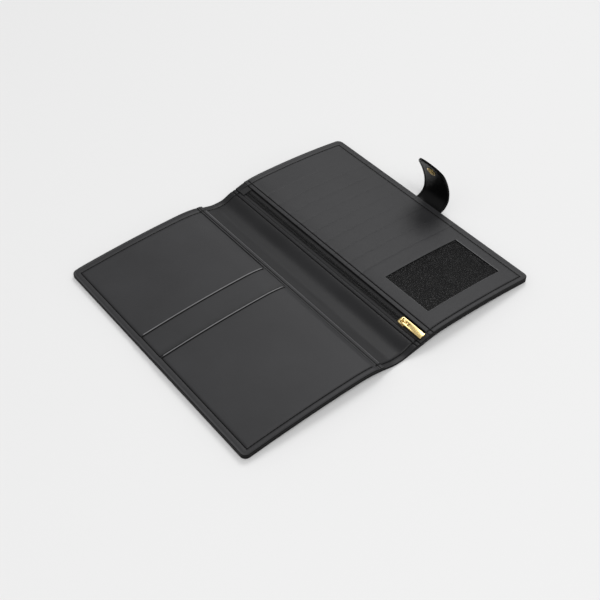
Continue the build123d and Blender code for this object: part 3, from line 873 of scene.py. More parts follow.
def windowHighlight(hole):  # a painted highlight: the cut edge is painted lighter on the sides that catch the light
    def worn(x, y):
        sideways = np.minimum(np.abs(hole[0] - x), np.abs(x - hole[1])) + 9 * ((y < hole[2]) | (y > hole[3]))
        near = np.abs(hole[2] - y) + 9 * ((x < hole[0]) | (x > hole[1]))
        return np.minimum(sideways, near) < 0.3
    return worn


def buildRightPanels():
    r = border["radius"]
    low, high = lifts["cardPanel"]
    common = {"linesX": borderLinesX(left=False) + seamLines, "material": leather["panel"],
              "black": leather["edge"]}
    panel = leaf("card_base", (trenchRight, walletWidth, 0, walletHeight), low, high - 0.25,
                 radii=(0, r, 0, r), under=rimUnder(low, lifts["hem"] + 0.02), step=(2.0, 5.0),
                 linesY=borderLinesY(cards["near"]), painted="lrnf", **common)
    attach(finish(panel, "panel_leather", "card_panel"), "right_cover")
    low, high = lifts["face"]
    base = rimUnder(low, high - cards["thick"])
    mouth = flatSpan("window_panel")[3]
    x0, x1, y0, y1 = flatSpan("window_backing")
    margin = window["margin"]
    hole = (x0 + margin, x1 - margin, y0 + margin, y1 - margin)
    piece = leaf("window_frame", (trenchRight, walletWidth, 0, mouth), low, high, radii=(0, r, 0, 0),
                 hole=hole, relief=rightRelief, under=base, step=(2.0, 3.0), painted="lrn",
                 linesY=borderLinesY(cards["near"]), seams=rightSeamShade, worn=windowHighlight(hole), **common)
    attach(finish(piece, "panel_leather", "window_panel"), "right_cover")
    index = 1
    while f"card_slot_{index}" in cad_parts:
        node = f"card_slot_{index}"
        end = flatSpan(node)[3]
        faces = [end - cards["slotCrease"] + k * 0.12 for k in range(-3, 4)]
        piece = leaf(f"card_pocket_{index}", (trenchRight, walletWidth, mouth + 0.02, end), low, high,
                     relief=cardRelief(mouth, end), under=base, step=(2.0, 1.5), linesY=faces, edge=0.24,
                     painted="lr", seams=rightSeamShade, **common)
        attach(finish(piece, "panel_leather", node), "right_cover")
        mouth = end
        index += 1
    cap = leaf("card_field", (trenchRight, walletWidth, mouth + 0.02, walletHeight), low, high,
               radii=(0, 0, 0, r), relief=fieldRelief, under=base, step=(2.0, 2.0),
               linesY=borderLinesY(cards["near"]), edge=0.24, painted="lrf", seams=rightSeamShade, **common)
    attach(finish(cap, "panel_leather"), "right_cover")


def buildWindow():
    x0, x1, y0, y1 = flatSpan("window_backing")
    low, high = lifts["backing"]
    back = leaf("window_back", (x0, x1, y0, y1), low, high, leather["backing"], step=(1.5, 1.5), edge=0.08)
    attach(finish(back, "backing_leather", "window_backing"), "right_cover")
    low, high = lifts["film"]
    film = leaf("window_sheet", (x0, x1, y0, y1), low, high, clearFilm, step=(2.0, 4.0), edge=0.08)
    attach(finish(film, "clear_film", "window_film"), "right_cover")


buildCovers()
buildLining()
buildZipEnds()
buildLeftPanels()
buildRightPanels()
buildWindow()
print("leather panels made")

# zip

zipShape = {
    "toothPitch": 1.45,
    "toothWidth": 1.75,
    "toothLength": 0.72,
    "toothHeight": 0.72,
    "toothSlant": 12.0,
    "toothFromCentre": 0.72,
    "cordRadius": 0.22,
    "cordLift": 0.2,
    "tapeSeam": 2.2,
}
zipCentre = (flatSpan("zip_tape_left")[1] + flatSpan("zip_tape_right")[0]) / 2
coilStart, coilEnd = flatSpan("zip_coil_left")[2:]
coilLift = lifts["coil"][0]


def zipPlace(x, y, z):  # the zip's own frame: x from its centre line, y from the near edge, z the lift
    low = lifts["tape"][0]
    slope = float(slopeAt(zipCentre + low * sin(slopeAt(zipCentre))))
    base = onSheet(zipCentre, 0.0, low)
    x, y, z = np.broadcast_arrays(np.asarray(x, float), np.asarray(y, float), np.asarray(z, float))
    rise = z - low
    return np.stack([
        base[0] + (x * cos(slope) - rise * sin(slope)) * mm,
        base[1] + y * mm,
        base[2] + (x * sin(slope) + rise * cos(slope)) * mm,
    ], -1)


def geometryTree(name, inputs):
    tree = bpy.data.node_groups.new(name, "GeometryNodeTree")
    tree.interface.new_socket("Geometry", in_out="INPUT", socket_type="NodeSocketGeometry")
    tree.interface.new_socket("Geometry", in_out="OUTPUT", socket_type="NodeSocketGeometry")
    kinds = {float: "NodeSocketFloat", int: "NodeSocketInt", "material": "NodeSocketMaterial"}
    for label, kind in inputs.items():
        tree.interface.new_socket(label, in_out="INPUT", socket_type=kinds[kind])
    return tree


def addNode(tree, kind, settings=None, values=None):
    made = tree.nodes.new(kind)
    for key, value in (settings or {}).items():
        setattr(made, key, value)
    for key, value in (values or {}).items():
        if hasattr(value, "is_linked"):
            tree.links.new(value, made.inputs[key])
        else:
            made.inputs[key].default_value = value
    return made


def beadTree():  # beads laid along a line at an even pitch, each turned a little across it
    labels = {"Pitch": float, "Length": float, "Width": float, "Height": float, "Slant": float,
              "Jitter": float, "Seed": int, "Material": "material"}
    tree = geometryTree("beadRow", labels)
    given = tree.nodes.new("NodeGroupInput").outputs
    line = addNode(tree, "GeometryNodeMeshToCurve", None, {"Mesh": given["Geometry"]})
    spaced = addNode(tree, "GeometryNodeResampleCurve", None, {"Curve": line.outputs[0]})
    if hasattr(spaced, "mode"):
        spaced.mode = "LENGTH"
    tree.links.new(given["Pitch"], spaced.inputs["Length"])
    ball = addNode(tree, "GeometryNodeMeshUVSphere", None, {"Segments": 8, "Rings": 6, "Radius": 0.5})
    size = addNode(tree, "ShaderNodeCombineXYZ", None, {"X": given["Length"], "Y": given["Width"],
                                                         "Z": given["Height"]})
    shaped = addNode(tree, "GeometryNodeTransform", None,
                     {"Geometry": ball.outputs[0], "Scale": size.outputs[0]})
    smooth = addNode(tree, "GeometryNodeSetShadeSmooth", None, {"Geometry": shaped.outputs[0]})
    tangent = addNode(tree, "GeometryNodeInputTangent")
    along = addNode(tree, "FunctionNodeAlignEulerToVector", {"axis": "X"}, {"Vector": tangent.outputs[0]})
    upright = addNode(tree, "FunctionNodeAlignEulerToVector", {"axis": "Z", "pivot_axis": "X"},
                      {"Rotation": along.outputs[0], "Vector": (0.0, 0.0, 1.0)})
    chance = addNode(tree, "FunctionNodeRandomValue", {"data_type": "FLOAT"}, {"Seed": given["Seed"]})
    spread = addNode(tree, "ShaderNodeMath", {"operation": "MULTIPLY_ADD"},
                     {0: chance.outputs[1], 1: given["Jitter"], 2: given["Slant"]})
    turn = addNode(tree, "ShaderNodeCombineXYZ", None, {"Z": spread.outputs[0]})
    turned = addNode(tree, "FunctionNodeRotateEuler", {"space": "LOCAL"},
                     {0: upright.outputs[0], 1: turn.outputs[0]})
    placed = addNode(tree, "GeometryNodeInstanceOnPoints", None, {
        "Points": spaced.outputs[0], "Instance": smooth.outputs[0], "Rotation": turned.outputs[0]})
    real = addNode(tree, "GeometryNodeRealizeInstances", None, {"Geometry": placed.outputs[0]})
    painted = addNode(tree, "GeometryNodeSetMaterial", None,
                      {"Geometry": real.outputs[0], "Material": given["Material"]})
    result = tree.nodes.new("NodeGroupOutput")
    tree.links.new(painted.outputs[0], result.inputs[0])
    return tree


beads = beadTree()


def lineObject(name, runs):  # runs are arrays of points in metres
    points, edges = [], []
    for run in runs:
        first = len(points)
        points += [tuple(p) for p in run]
        edges += [(first + k, first + k + 1) for k in range(len(run) - 1)]
    mesh = bpy.data.meshes.new(name)
    mesh.from_pydata(points, edges, [])
    return addObject(name, mesh)


def plain(item):  # the evaluated shape as a mesh with no modifier
    graph = bpy.context.evaluated_depsgraph_get()
    mesh = bpy.data.meshes.new_from_object(item.evaluated_get(graph), preserve_all_data_layers=True,
                                           depsgraph=graph)
    item.modifiers.clear()
    item.data = mesh
    return item


def beadRow(name, runs, look, material, seed=3):
    item = lineObject(name, runs)
    modifier = item.modifiers.new("beads", "NODES")
    modifier.node_group = beads
    values = {"Slant": radians(look["slant"]), "Jitter": radians(look["jitter"]), "Seed": seed,
              "Material": material}
    for size in ("Pitch", "Length", "Width", "Height"):
        values[size] = look[size.lower()] * mm
    for socket in beads.interface.items_tree:
        if socket.name in values:
            modifier[socket.identifier] = values[socket.name]
    return plain(item)


def straightRun(place, start, end, count=2):
    return place(*[np.linspace(a, b, count) for a, b in zip(start, end)])


toothLook = {"pitch": zipShape["toothPitch"], "length": zipShape["toothWidth"], "jitter": 0.0,
             "width": zipShape["toothLength"], "height": zipShape["toothHeight"]}
tapeStitch = {"pitch": 1.9, "length": 1.5, "width": 0.26, "height": 0.2, "slant": 6.0, "jitter": 3.0}


def ringFaces(rings, count):  # a skin over rings of points, closed at both ends
    faces = []
    for i in range(rings - 1):
        for k in range(count):
            n = (k + 1) % count
            faces.append((i * count + k, i * count + n, (i + 1) * count + n, (i + 1) * count + k))
    last = (rings - 1) * count
    return faces + [tuple(range(count))[::-1], tuple(last + k for k in range(count))]


def tubeAlong(name, run, radius, material, sides=8):
    line = np.asarray(run, float)
    ahead = np.gradient(line, axis=0)
    ahead /= np.linalg.norm(ahead, axis=1)[:, None]
    up = np.array([0.0, 0.0, 1.0])
    side = np.cross(ahead, up)
    side /= np.linalg.norm(side, axis=1)[:, None]
    top = np.cross(side, ahead)
    angles = np.linspace(0, 2 * pi, sides, endpoint=False)
    rings = line[:, None] + radius * mm * (np.cos(angles)[None, :, None] * side[:, None]
                                           + np.sin(angles)[None, :, None] * top[:, None])
    mesh = bpy.data.meshes.new(name)
    mesh.from_pydata([tuple(p) for p in rings.reshape(-1, 3)], [], ringFaces(len(line), sides))
    mesh.materials.append(material)
    mesh.polygons.foreach_set("use_smooth", [True] * len(mesh.polygons))
    tidyNormals(mesh)
    return addObject(name, mesh)


def tidyNormals(mesh, gap=None):  # points closer than the gap are merged first
    work = bmesh.new()
    work.from_mesh(mesh)
    if gap:
        bmesh.ops.remove_doubles(work, verts=work.verts, dist=gap * mm)
    bmesh.ops.recalc_face_normals(work, faces=work.faces)
    work.to_mesh(mesh)
    work.free()


def joined(name, items):
    work = bmesh.new()
    slots = []
    for item in items:
        base = item.data.copy()
        for polygon in base.polygons:
            material = item.data.materials[polygon.material_index]
            if material not in slots:
                slots.append(material)
            polygon.material_index = slots.index(material)
        work.from_mesh(base)
        bpy.data.meshes.remove(base)
        bpy.data.objects.remove(item)
    mesh = bpy.data.meshes.new(name)
    work.to_mesh(mesh)
    work.free()
    for material in slots:
        mesh.materials.append(material)
    return addObject(name, mesh)


def buildZip():
    tapeLow, tapeHigh = lifts["tape"]
    for side, name in ((-1, "left"), (1, "right")):
        x0, x1, y0, y1 = flatSpan("zip_tape_" + name)
        tape = leaf("tape_" + name, (x0, x1, y0, y1), tapeLow, tapeHigh, tapeCloth, step=(0.8, 4.0),
                    edge=0.12)
        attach(finish(tape, "zip_tape", "zip_tape_" + name), "right_cover")
        shift = 0.0 if side < 0 else zipShape["toothPitch"] / 2
        x = side * zipShape["toothFromCentre"]
        middle = coilLift + zipShape["toothHeight"] / 2
        run = straightRun(zipPlace, (x, coilStart + shift, middle), (x, coilEnd, middle))
        look = dict(toothLook, slant=90.0 + side * zipShape["toothSlant"])
        teeth = beadRow("teeth_" + name, [run], look, coilNylon)
        outer = side * (zipShape["toothFromCentre"] + zipShape["toothWidth"] / 2 - 0.1)
        middle = coilLift + zipShape["cordLift"]
        cordRun = straightRun(zipPlace, (outer, coilStart, middle), (outer, coilEnd, middle), 60)
        cord = tubeAlong("cord", cordRun, zipShape["cordRadius"], coilNylon)
        coil = joined("coil_" + name, [teeth, cord])
        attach(finish(coil, "zip_coil", "zip_coil_" + name), "right_cover")
        seam = side * zipShape["tapeSeam"]
        run = straightRun(zipPlace, (seam, coilStart, tapeHigh + 0.03), (seam, coilEnd, tapeHigh + 0.03))
        sewn = beadRow("tape_stitches_" + name, [run], tapeStitch, thread)
        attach(finish(sewn, "zip_tape"), "right_cover")


# small metal pieces


def plate(name, outlines, thick, bevel, place, material):  # outlines in mm: the rim, then any holes
    curve = bpy.data.curves.new(name, "CURVE")
    curve.dimensions = "2D"
    curve.fill_mode = "BOTH"
    for outline in outlines:
        spline = curve.splines.new("POLY")
        spline.points.add(len(outline) - 1)
        for point, (x, y) in zip(spline.points, outline):
            point.co = (x, y, 0, 1)
        spline.use_cyclic_u = True
    curve.offset = -bevel
    curve.extrude = thick / 2 - bevel
    curve.bevel_depth = bevel
    curve.bevel_resolution = 2
    item = addObject(name, curve)
    graph = bpy.context.evaluated_depsgraph_get()
    mesh = bpy.data.meshes.new_from_object(item.evaluated_get(graph), depsgraph=graph)
    bpy.data.objects.remove(item)
    co = np.array([v.co for v in mesh.vertices], float)
    points = place(co[:, 0], co[:, 1], co[:, 2])
    mesh.vertices.foreach_set("co", points.astype(np.float32).ravel())
    tidyNormals(mesh, 0.002)
    mesh.materials.clear()
    mesh.materials.append(material)
    mesh.polygons.foreach_set("use_smooth", [True] * len(mesh.polygons))
    mesh.set_sharp_from_angle(angle=radians(42))
    return addObject(name, mesh)


def roundedRectangle(x0, x1, y0, y1, radius, steps=5):
    corners = [(x1 - radius, y0 + radius, -90), (x1 - radius, y1 - radius, 0),
               (x0 + radius, y1 - radius, 90), (x0 + radius, y0 + radius, 180)]
    outline = []
    for cx, cy, start in corners:
        for k in range(steps + 1):
            angle = radians(start + 90 * k / steps)
            outline.append((cx + radius * cos(angle), cy + radius * sin(angle)))
    return outline


def lathe(name, profile, centre, axis, material, turns=48):  # profile rows are radius and height in mm
    axis = Vector(axis).normalized()
    side = axis.orthogonal().normalized()
    other = axis.cross(side)
    points = []
    for radius, rise in profile:
        for k in range(turns):
            angle = 2 * pi * k / turns
            reach = (side * cos(angle) + other * sin(angle)) * radius
            points.append(Vector(centre) + reach * mm + axis * rise * mm)
    item = meshObject(name, points, ringFaces(len(profile), turns), material=material)
    tidyNormals(item.data)
    item.data.set_sharp_from_angle(angle=radians(40))
    return item


def arcProfile(radius, rise, start, end, size, count=5):  # points on a small arc of a profile
    angles = np.radians(np.linspace(start, end, count))
    return [(radius + size * cos(angle), rise + size * sin(angle)) for angle in angles]


# slider and pull

sliderShape = {  # widths are from the zip's centre line
    "shoulder": 3.1,
    "neck": 2.35,
    "floor": 1.78,
    "floorTop": 2.2,
    "roof": 3.73,
    "roofThick": 0.55,
    "flange": 0.55,
    "crown": 0.22,  # how far the roof swells in its middle
    "bridgeRadius": 2.2,
    "bridgeTube": 0.42,
    "bridgeWidth": 1.25,
    "pullAxis": 4.98,
    "pullWidth": 5.2,
    "pullLength": 19.0,
    "pullThick": 0.8,
    "pullPastAxis": 0.45,
}
sliderNear, sliderFar = flatSpan("slider_body")[2:]
sliderMiddle = (sliderNear + sliderFar) / 2


def sliderOutline():  # narrow over the closed teeth, wide where they part
    neck, shoulder = sliderShape["neck"], sliderShape["shoulder"]
    near, far = sliderNear, sliderFar
    right = [(neck - 0.5, near), (neck - 0.12, near + 0.12), (neck, near + 0.5), (neck + 0.05, near + 1.8),
             (shoulder - 0.15, near + 3.6), (shoulder, near + 4.6), (shoulder, far - 1.5),
             (shoulder - 0.2, far - 0.6), (shoulder - 0.75, far - 0.12), (shoulder - 1.3, far)]
    return right + [(-x, y) for x, y in reversed(right)]


def atLift(lift):  # places a flat plate in the zip's own frame
    return lambda x, y, z: zipPlace(x, y, z + lift)


def buildSlider():
    s = sliderShape
    near, far = sliderNear, sliderFar

    def roofPlace(x, y, z):
        across = np.cos(np.clip(x / s["shoulder"], -1, 1) * pi / 2)
        along = np.cos(np.clip((y - sliderMiddle) / 4.6, -1, 1) * pi / 2)
        return zipPlace(x, y, z + s["roof"] + s["roofThick"] / 2 + s["crown"] * across * along)

    slots = [roundedRectangle(x - 0.42, x + 0.42, far - 2.5, far - 1.2, 0.3)[::-1] for x in (-1.55, 1.55)]
    roof = plate("roof", [sliderOutline()] + slots, s["roofThick"], 0.16, roofPlace, gold)
    floor = plate("floor", [sliderOutline()], s["floorTop"] - s["floor"], 0.12,
                  atLift((s["floor"] + s["floorTop"]) / 2), gold)
    walls = []
    low = lifts["tape"][1] + 0.22
    for side in (-1, 1):
        x0, x1 = sorted((side * (s["shoulder"] - 0.02), side * (s["shoulder"] - s["flange"])))
        outline = roundedRectangle(x0, x1, near + 2.2, far - 1.5, 0.2)
        walls.append(plate("wall", [outline], s["roof"] - low + 0.1, 0.1,
                           atLift((low + s["roof"]) / 2 + 0.05), gold))
    neck = plate("neck", [roundedRectangle(-0.45, 0.45, near + 0.4, near + 2.4, 0.2)],
                 s["roof"] - s["floorTop"] + 0.3, 0.1, atLift((s["roof"] + s["floorTop"]) / 2), gold)
    # a dark sheet under the roof's slots, painted shade seen through them
    under = plate("under", [roundedRectangle(-2.2, 2.2, far - 2.9, far - 0.9, 0.3)], 0.12, 0.02,
                  atLift(s["roof"] + 0.02), darkRecess)
    body = joined("zip_slider", [roof, floor, neck, under] + walls)
    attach(finish(body, "gold_metal", "slider_body"), "slider")
    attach(finish(buildBridge(), "gold_metal", "slider_bridge"), "slider")


def buildBridge():  # a flat band bent over the slider, splayed where it meets the roof
    s = sliderShape
    base = s["roof"] + s["roofThick"] - 0.12
    rim = s["bridgeRadius"] - s["bridgeTube"]
    line = []
    for angle in np.linspace(0, 180, 25):
        a = radians(angle)
        line.append((rim * cos(a) * 1.05, rim * max(0.0, sin(a)) ** 0.8))
    points = []
    half = s["bridgeWidth"] / 2
    section = roundedRectangle(-half, half, -s["bridgeTube"], s["bridgeTube"], 0.24, 3)
    for k, (along, rise) in enumerate(line):
        before, after = line[max(k - 1, 0)], line[min(k + 1, len(line) - 1)]
        step = Vector((after[0] - before[0], after[1] - before[1])).normalized()
        foot = 1 + 0.45 * (1 - sin(pi * k / (len(line) - 1))) ** 2
        for across, out in section:
            y = sliderMiddle + along + out * step.y
            z = base + rise - out * step.x
            points.append(zipPlace(across * foot, y, z))
    item = meshObject("zip_bridge", points, ringFaces(len(line), len(section)), material=gold)
    tidyNormals(item.data)
    return item


def buildPull():
    s = sliderShape
    half = s["pullWidth"] / 2
    rim = roundedRectangle(-half, half, -s["pullLength"], s["pullPastAxis"], 0.5)
    eye = roundedRectangle(-1.0, 1.0, -2.6, -s["pullPastAxis"], 0.3)  # the bridge passes through it
    slot = roundedRectangle(-1.4, 1.4, -5.2, -3.8, 0.35)

    def placePull(x, y, z):
        droop = 0.12 * np.clip((-y - 6) / 12, 0, 1) ** 2
        return zipPlace(x, sliderMiddle + y, s["pullAxis"] + z - droop)

    body = plate("zip_pull", [rim, eye[::-1], slot[::-1]], s["pullThick"], 0.16, placePull, gold)
    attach(finish(body, "gold_metal", "pull_plate"), "pull")


stopShape = {"inner": 0.75, "outer": 1.9, "endHalf": 1.6, "thick": 0.85}


def buildStops():
    place = atLift(sum(lifts["coil"]) / 2)
    y0, y1 = flatSpan("zip_top_stops")[2:]
    tops = []
    for side in (-1, 1):
        x0, x1 = sorted((side * stopShape["inner"], side * stopShape["outer"]))
        outline = roundedRectangle(x0, x1, y0, y1, 0.3)
        tops.append(plate("stop", [outline], stopShape["thick"], 0.14, place, gold))
    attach(finish(joined("zip_stops", tops), "gold_metal", "zip_top_stops"), "right_cover")
    y0, y1 = flatSpan("zip_bottom_stop")[2:]
    outline = roundedRectangle(-stopShape["endHalf"], stopShape["endHalf"], y0, y1, 0.6)
    end = plate("zip_end_stop", [outline], stopShape["thick"], 0.16, place, gold)
    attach(finish(end, "gold_metal", "zip_bottom_stop"), "right_cover")


# strap

strapShape = {
    "rootRadius": 9.6,
    "middle": (11.4, 18.0),  # length, and degrees that it turns
    "tipTurn": 21.0,
    "length": 56.0,
    "thick": 1.8,
    "outerThick": 1.02,
    "layer": 2.2,  # its middle's lift at the wallet's edge
    "bendReach": 4.5,
    "seam": 2.1,
    "seamDepth": 0.22,
    "tuck": 5.0,  # runs this far in between the layers
    "snapFromTip": 14.0,
    "crown": 0.14,
}
strapSpan = nodeSpan("strap_tip_leather")
strapWidth = strapSpan[3] - strapSpan[2]
strapCentre = walletHeight / 2
strapRoot = strapShape["rootRadius"] * pi / 2  # where the root has turned upright
strapMiddle = strapRoot + strapShape["middle"][0]


def strapRows():
    s = strapShape
    steps = [(s["tuck"], 0.0), (strapRoot, 90.0), s["middle"], (s["length"] - strapMiddle, s["tipTurn"])]
    return walkPath(leftEdge + walletWidth - s["tuck"], s["layer"], 0.0, steps)


strapLine = strapRows()


def onStrap(s, y, lift):  # s runs from the wallet's edge, lift from the middle towards the lining
    s, y, lift = np.broadcast_arrays(np.asarray(s, float), np.asarray(y, float), np.asarray(lift, float))
    gone = s + strapShape["tuck"]
    x, z, heading = (np.interp(gone, strapLine[:, 3], strapLine[:, k]) for k in range(3))
    px = x - lift * np.sin(heading)
    pz = z + lift * np.cos(heading)
    return np.stack([px, nearEdge + y, pz], -1) * mm


reach = strapShape["bendReach"]
rootEnd = strapRoot - reach - 0.1  # the root's own bend is over before the next one starts
middleEnd = (strapRoot + strapMiddle) / 2
strapEnds = {
    "strap_root": (-strapShape["tuck"], rootEnd),
    "strap_middle": (rootEnd, middleEnd),
    "strap_tip": (middleEnd, strapShape["length"]),
}
strapBends = {
    "strap_root": (0.0, rootEnd - 0.2),
    "strap_middle": (strapRoot - reach, strapRoot + 4.0),
    "strap_tip": (strapMiddle - reach, strapMiddle + reach),
}
strapBodies = ["right_cover", "strap_root", "strap_middle", "strap_tip"]


def bendStrap(piece, name):
    place = strapBodies.index(name)
    start, end = (Vector(onStrap(s, strapCentre, 0.0)) for s in strapBends[name])
    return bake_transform(piece, strapBodies[place - 1], name, start=start, end=end)


def strapRing(s, y):  # the same distance before a round tip's corners are turned
    half = strapWidth / 2
    return np.minimum(half - np.abs(y - strapCentre), strapShape["length"] - s)


def strapRelief(sign):
    def relief(s, y):
        away = strapRing(s, y)
        seam = dip(away, strapShape["seam"], 0.4, strapShape["seamDepth"])
        crown = strapShape["crown"] * smoothStep(away, strapShape["seam"], strapShape["seam"] + 4)
        return sign * (seam + crown)
    return relief


def strapSeamShade(s, y):
    return seamShade(strapRing(s, y) - strapShape["seam"])


def buildStrap():
    half = strapWidth / 2
    y0, y1 = strapCentre - half, strapCentre + half
    mid = strapShape["thick"] / 2
    split = -mid + strapShape["outerThick"]
    marks = [strapShape["seam"] * m for m in seamMarks]
    for name, (s0, s1) in strapEnds.items():
        box = (s0, s1, y0, y1)
        common = {"place": onStrap, "step": (0.7, 0.9), "material": leather["strap"],
                  "black": leather["edge"], "roundSides": "nf", "painted": "nf",
                  "linesY": [y0 + m for m in marks] + [y1 - m for m in marks]}
        if name == "strap_tip":  # the only one with an end of its own, which is round
            common.update(radii=(0, half - 0.01, 0, half - 0.01), roundSides="rnf", painted="rnf",
                          linesX=[s1 - m for m in marks])
        outer = leaf(name + "_outer", box, -mid, split, under=strapRelief(-1), edge=0.45, **common)
        inner = leaf(name + "_inner", box, split + 0.02, mid, relief=strapRelief(1), edge=0.34,
                     seams=strapSeamShade, **common)
        anchors = ["strap_anchor"] if name == "strap_root" else []
        bendStrap(finish(outer, "strap_leather", name + "_leather", *anchors), name)
        bendStrap(finish(inner, "strap_leather", name + "_lining"), name)


snapShape = {
    "capRadius": 6.0,
    "capRim": 0.28,
    "capRise": 0.92,
    "pole": 0.05,  # a turned piece's end caps have this radius
    "socketLift": 0.12,
    "springLift": 0.98,
    "springFromCentre": 1.78,
    "springHalf": (1.7, 0.16),
}


def buildSnap():
    s = snapShape
    pole, rimSize = s["pole"], s["capRim"]
    at = strapShape["length"] - strapShape["snapFromTip"]
    centre = Vector(onStrap(at, strapCentre, 0.0))
    out = Vector(onStrap(at, strapCentre, 1.0)) - centre
    mid = strapShape["thick"] / 2
    dome = [(pole, rimSize + s["capRise"])]
    for angle in np.radians((12, 26, 40, 54, 66, 76)):
        dome.append((s["capRadius"] * sin(angle), rimSize + s["capRise"] * cos(angle) ** 0.7))
    rim = arcProfile(s["capRadius"] - rimSize, rimSize, 60, -90, rimSize, 7)
    back = [(4.8, 0.02), (pole, 0.02)]
    cap = lathe("snap_cap_dome", dome + rim + back, centre - out * (mid + 0.02), -out, gold)
    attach(finish(cap, "gold_metal", "snap_cap"), "strap_tip")
    ring = [(1.95, 0.12), (2.1, 0.4)] + arcProfile(2.75, 0.9, 200, 20, 0.36, 7)
    ring += [(3.3, 0.85), (3.6, 0.62)] + arcProfile(3.95, 0.4, 70, -80, 0.33, 6) + [(3.6, 0.05), (pole, 0.05)]
    foot = mid + s["socketLift"]
    socket = lathe("snap_socket_ring", [(pole, 0.12)] + ring, centre + out * foot, out, gold)
    up = out.normalized()
    sideways = Vector((0, 1, 0))
    onward = up.cross(sideways)
    base = np.array(centre + up * (foot + s["springLift"]) * mm)

    def springPlace(x, y, z):
        across = np.outer(x, np.array(sideways)) + np.outer(y, np.array(onward))
        return base + (across + np.outer(z, np.array(up))) * mm

    springs = []
    halfLength, halfWidth = s["springHalf"]
    for y in (-s["springFromCentre"], s["springFromCentre"]):
        outline = roundedRectangle(-halfLength, halfLength, y - halfWidth, y + halfWidth, 0.15)
        springs.append(plate("spring", [outline], 0.35, 0.08, springPlace, gold))
    # a dark disc as painted shade in the socket's well
    wellProfile = [(pole, 0.16), (1.9, 0.16), (1.9, 0.1), (pole, 0.1)]
    wellShade = lathe("wellShade", wellProfile, centre + out * (foot + 0.02), out, darkRecess)
    whole = joined("snap_socket_whole", [socket, wellShade] + springs)
    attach(finish(whole, "gold_metal", "snap_socket"), "strap_tip")


def buildStud():  # the post that the strap's socket closes over, under the left cover
    x = sum(flatSpan("snap_stud")[:2]) / 2
    pole = snapShape["pole"]
    base = Vector(onSheet(x, walletHeight / 2, 0.0))
    out = (base - Vector(onSheet(x, walletHeight / 2, 1.0))).normalized()
    profile = [(pole, 1.7)] + arcProfile(1.05, 1.28, 80, 0, 0.42, 5) + [(1.3, 0.95), (1.34, 0.6), (2.0, 0.5)]
    profile += [(3.2, 0.46)] + arcProfile(3.95, 0.22, 75, -60, 0.28, 6) + [(3.6, 0.0), (pole, 0.0)]
    stud = lathe("stud_post", profile, base, out, gold)
    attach(finish(stud, "gold_metal", "snap_stud"), "left_cover")
    profile = [(pole, 0.3), (2.6, 0.26), (3.5, 0.16), (3.9, 0.05), (3.9, 0.0), (pole, 0.0)]
    head = lathe("stud_head", profile, base - out * (lifts["cover"][1] + 0.03) * mm, -out, gold)
    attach(finish(head, "gold_metal", "stud_rivet"), "left_cover")


# stitches

stitchLook = {"pitch": 2.7, "length": 2.15, "width": 0.72, "height": 0.4, "slant": 6.0, "jitter": 3.0}
strapStitch = dict(stitchLook, pitch=2.3, length=1.75, width=0.4, height=0.3)
sunk = 0.06  # a stitch's middle lies this far above the groove it is in


def seamRun(points, top, step=1.2, place=onSheet):  # a polyline of x, y laid on a surface
    rows = []
    for (xa, ya), (xb, yb) in zip(points[:-1], points[1:]):
        count = max(2, int(hypot(xb - xa, yb - ya) / step))
        share = np.linspace(0, 1, count)[:-1]
        rows.append(np.stack([xa + (xb - xa) * share, ya + (yb - ya) * share], 1))
    rows.append(np.array([points[-1]], float))
    flat = np.concatenate(rows)
    return place(flat[:, 0], flat[:, 1], top(flat[:, 0], flat[:, 1]))


def leftPanelTop(x, y):
    high = np.where(y <= lowerMouth, lifts["lowerPocket"][1],
                    np.where(y <= middleMouth, lifts["middlePocket"][1], lifts["backPanel"][1]))
    high = np.where(x > pocketEnd, lifts["middlePocket"][1], high)
    drop = np.where(y <= lowerMouth, pockets["sideDrop"], pockets["plainDrop"])
    return high - pocketTuck(x, drop) * (x < pocketEnd) + borderRelief(x, y) + sunk


def rightPanelTop(x, y):
    seam = dip(x, trenchSeam, innerSeam["width"], innerSeam["depth"])
    return lifts["face"][1] + borderRelief(x, y, cards["near"]) + seam + sunk


def liningSeamTop(x, y):
    return lifts["lining"][1] + liningTop(x, y) + sunk


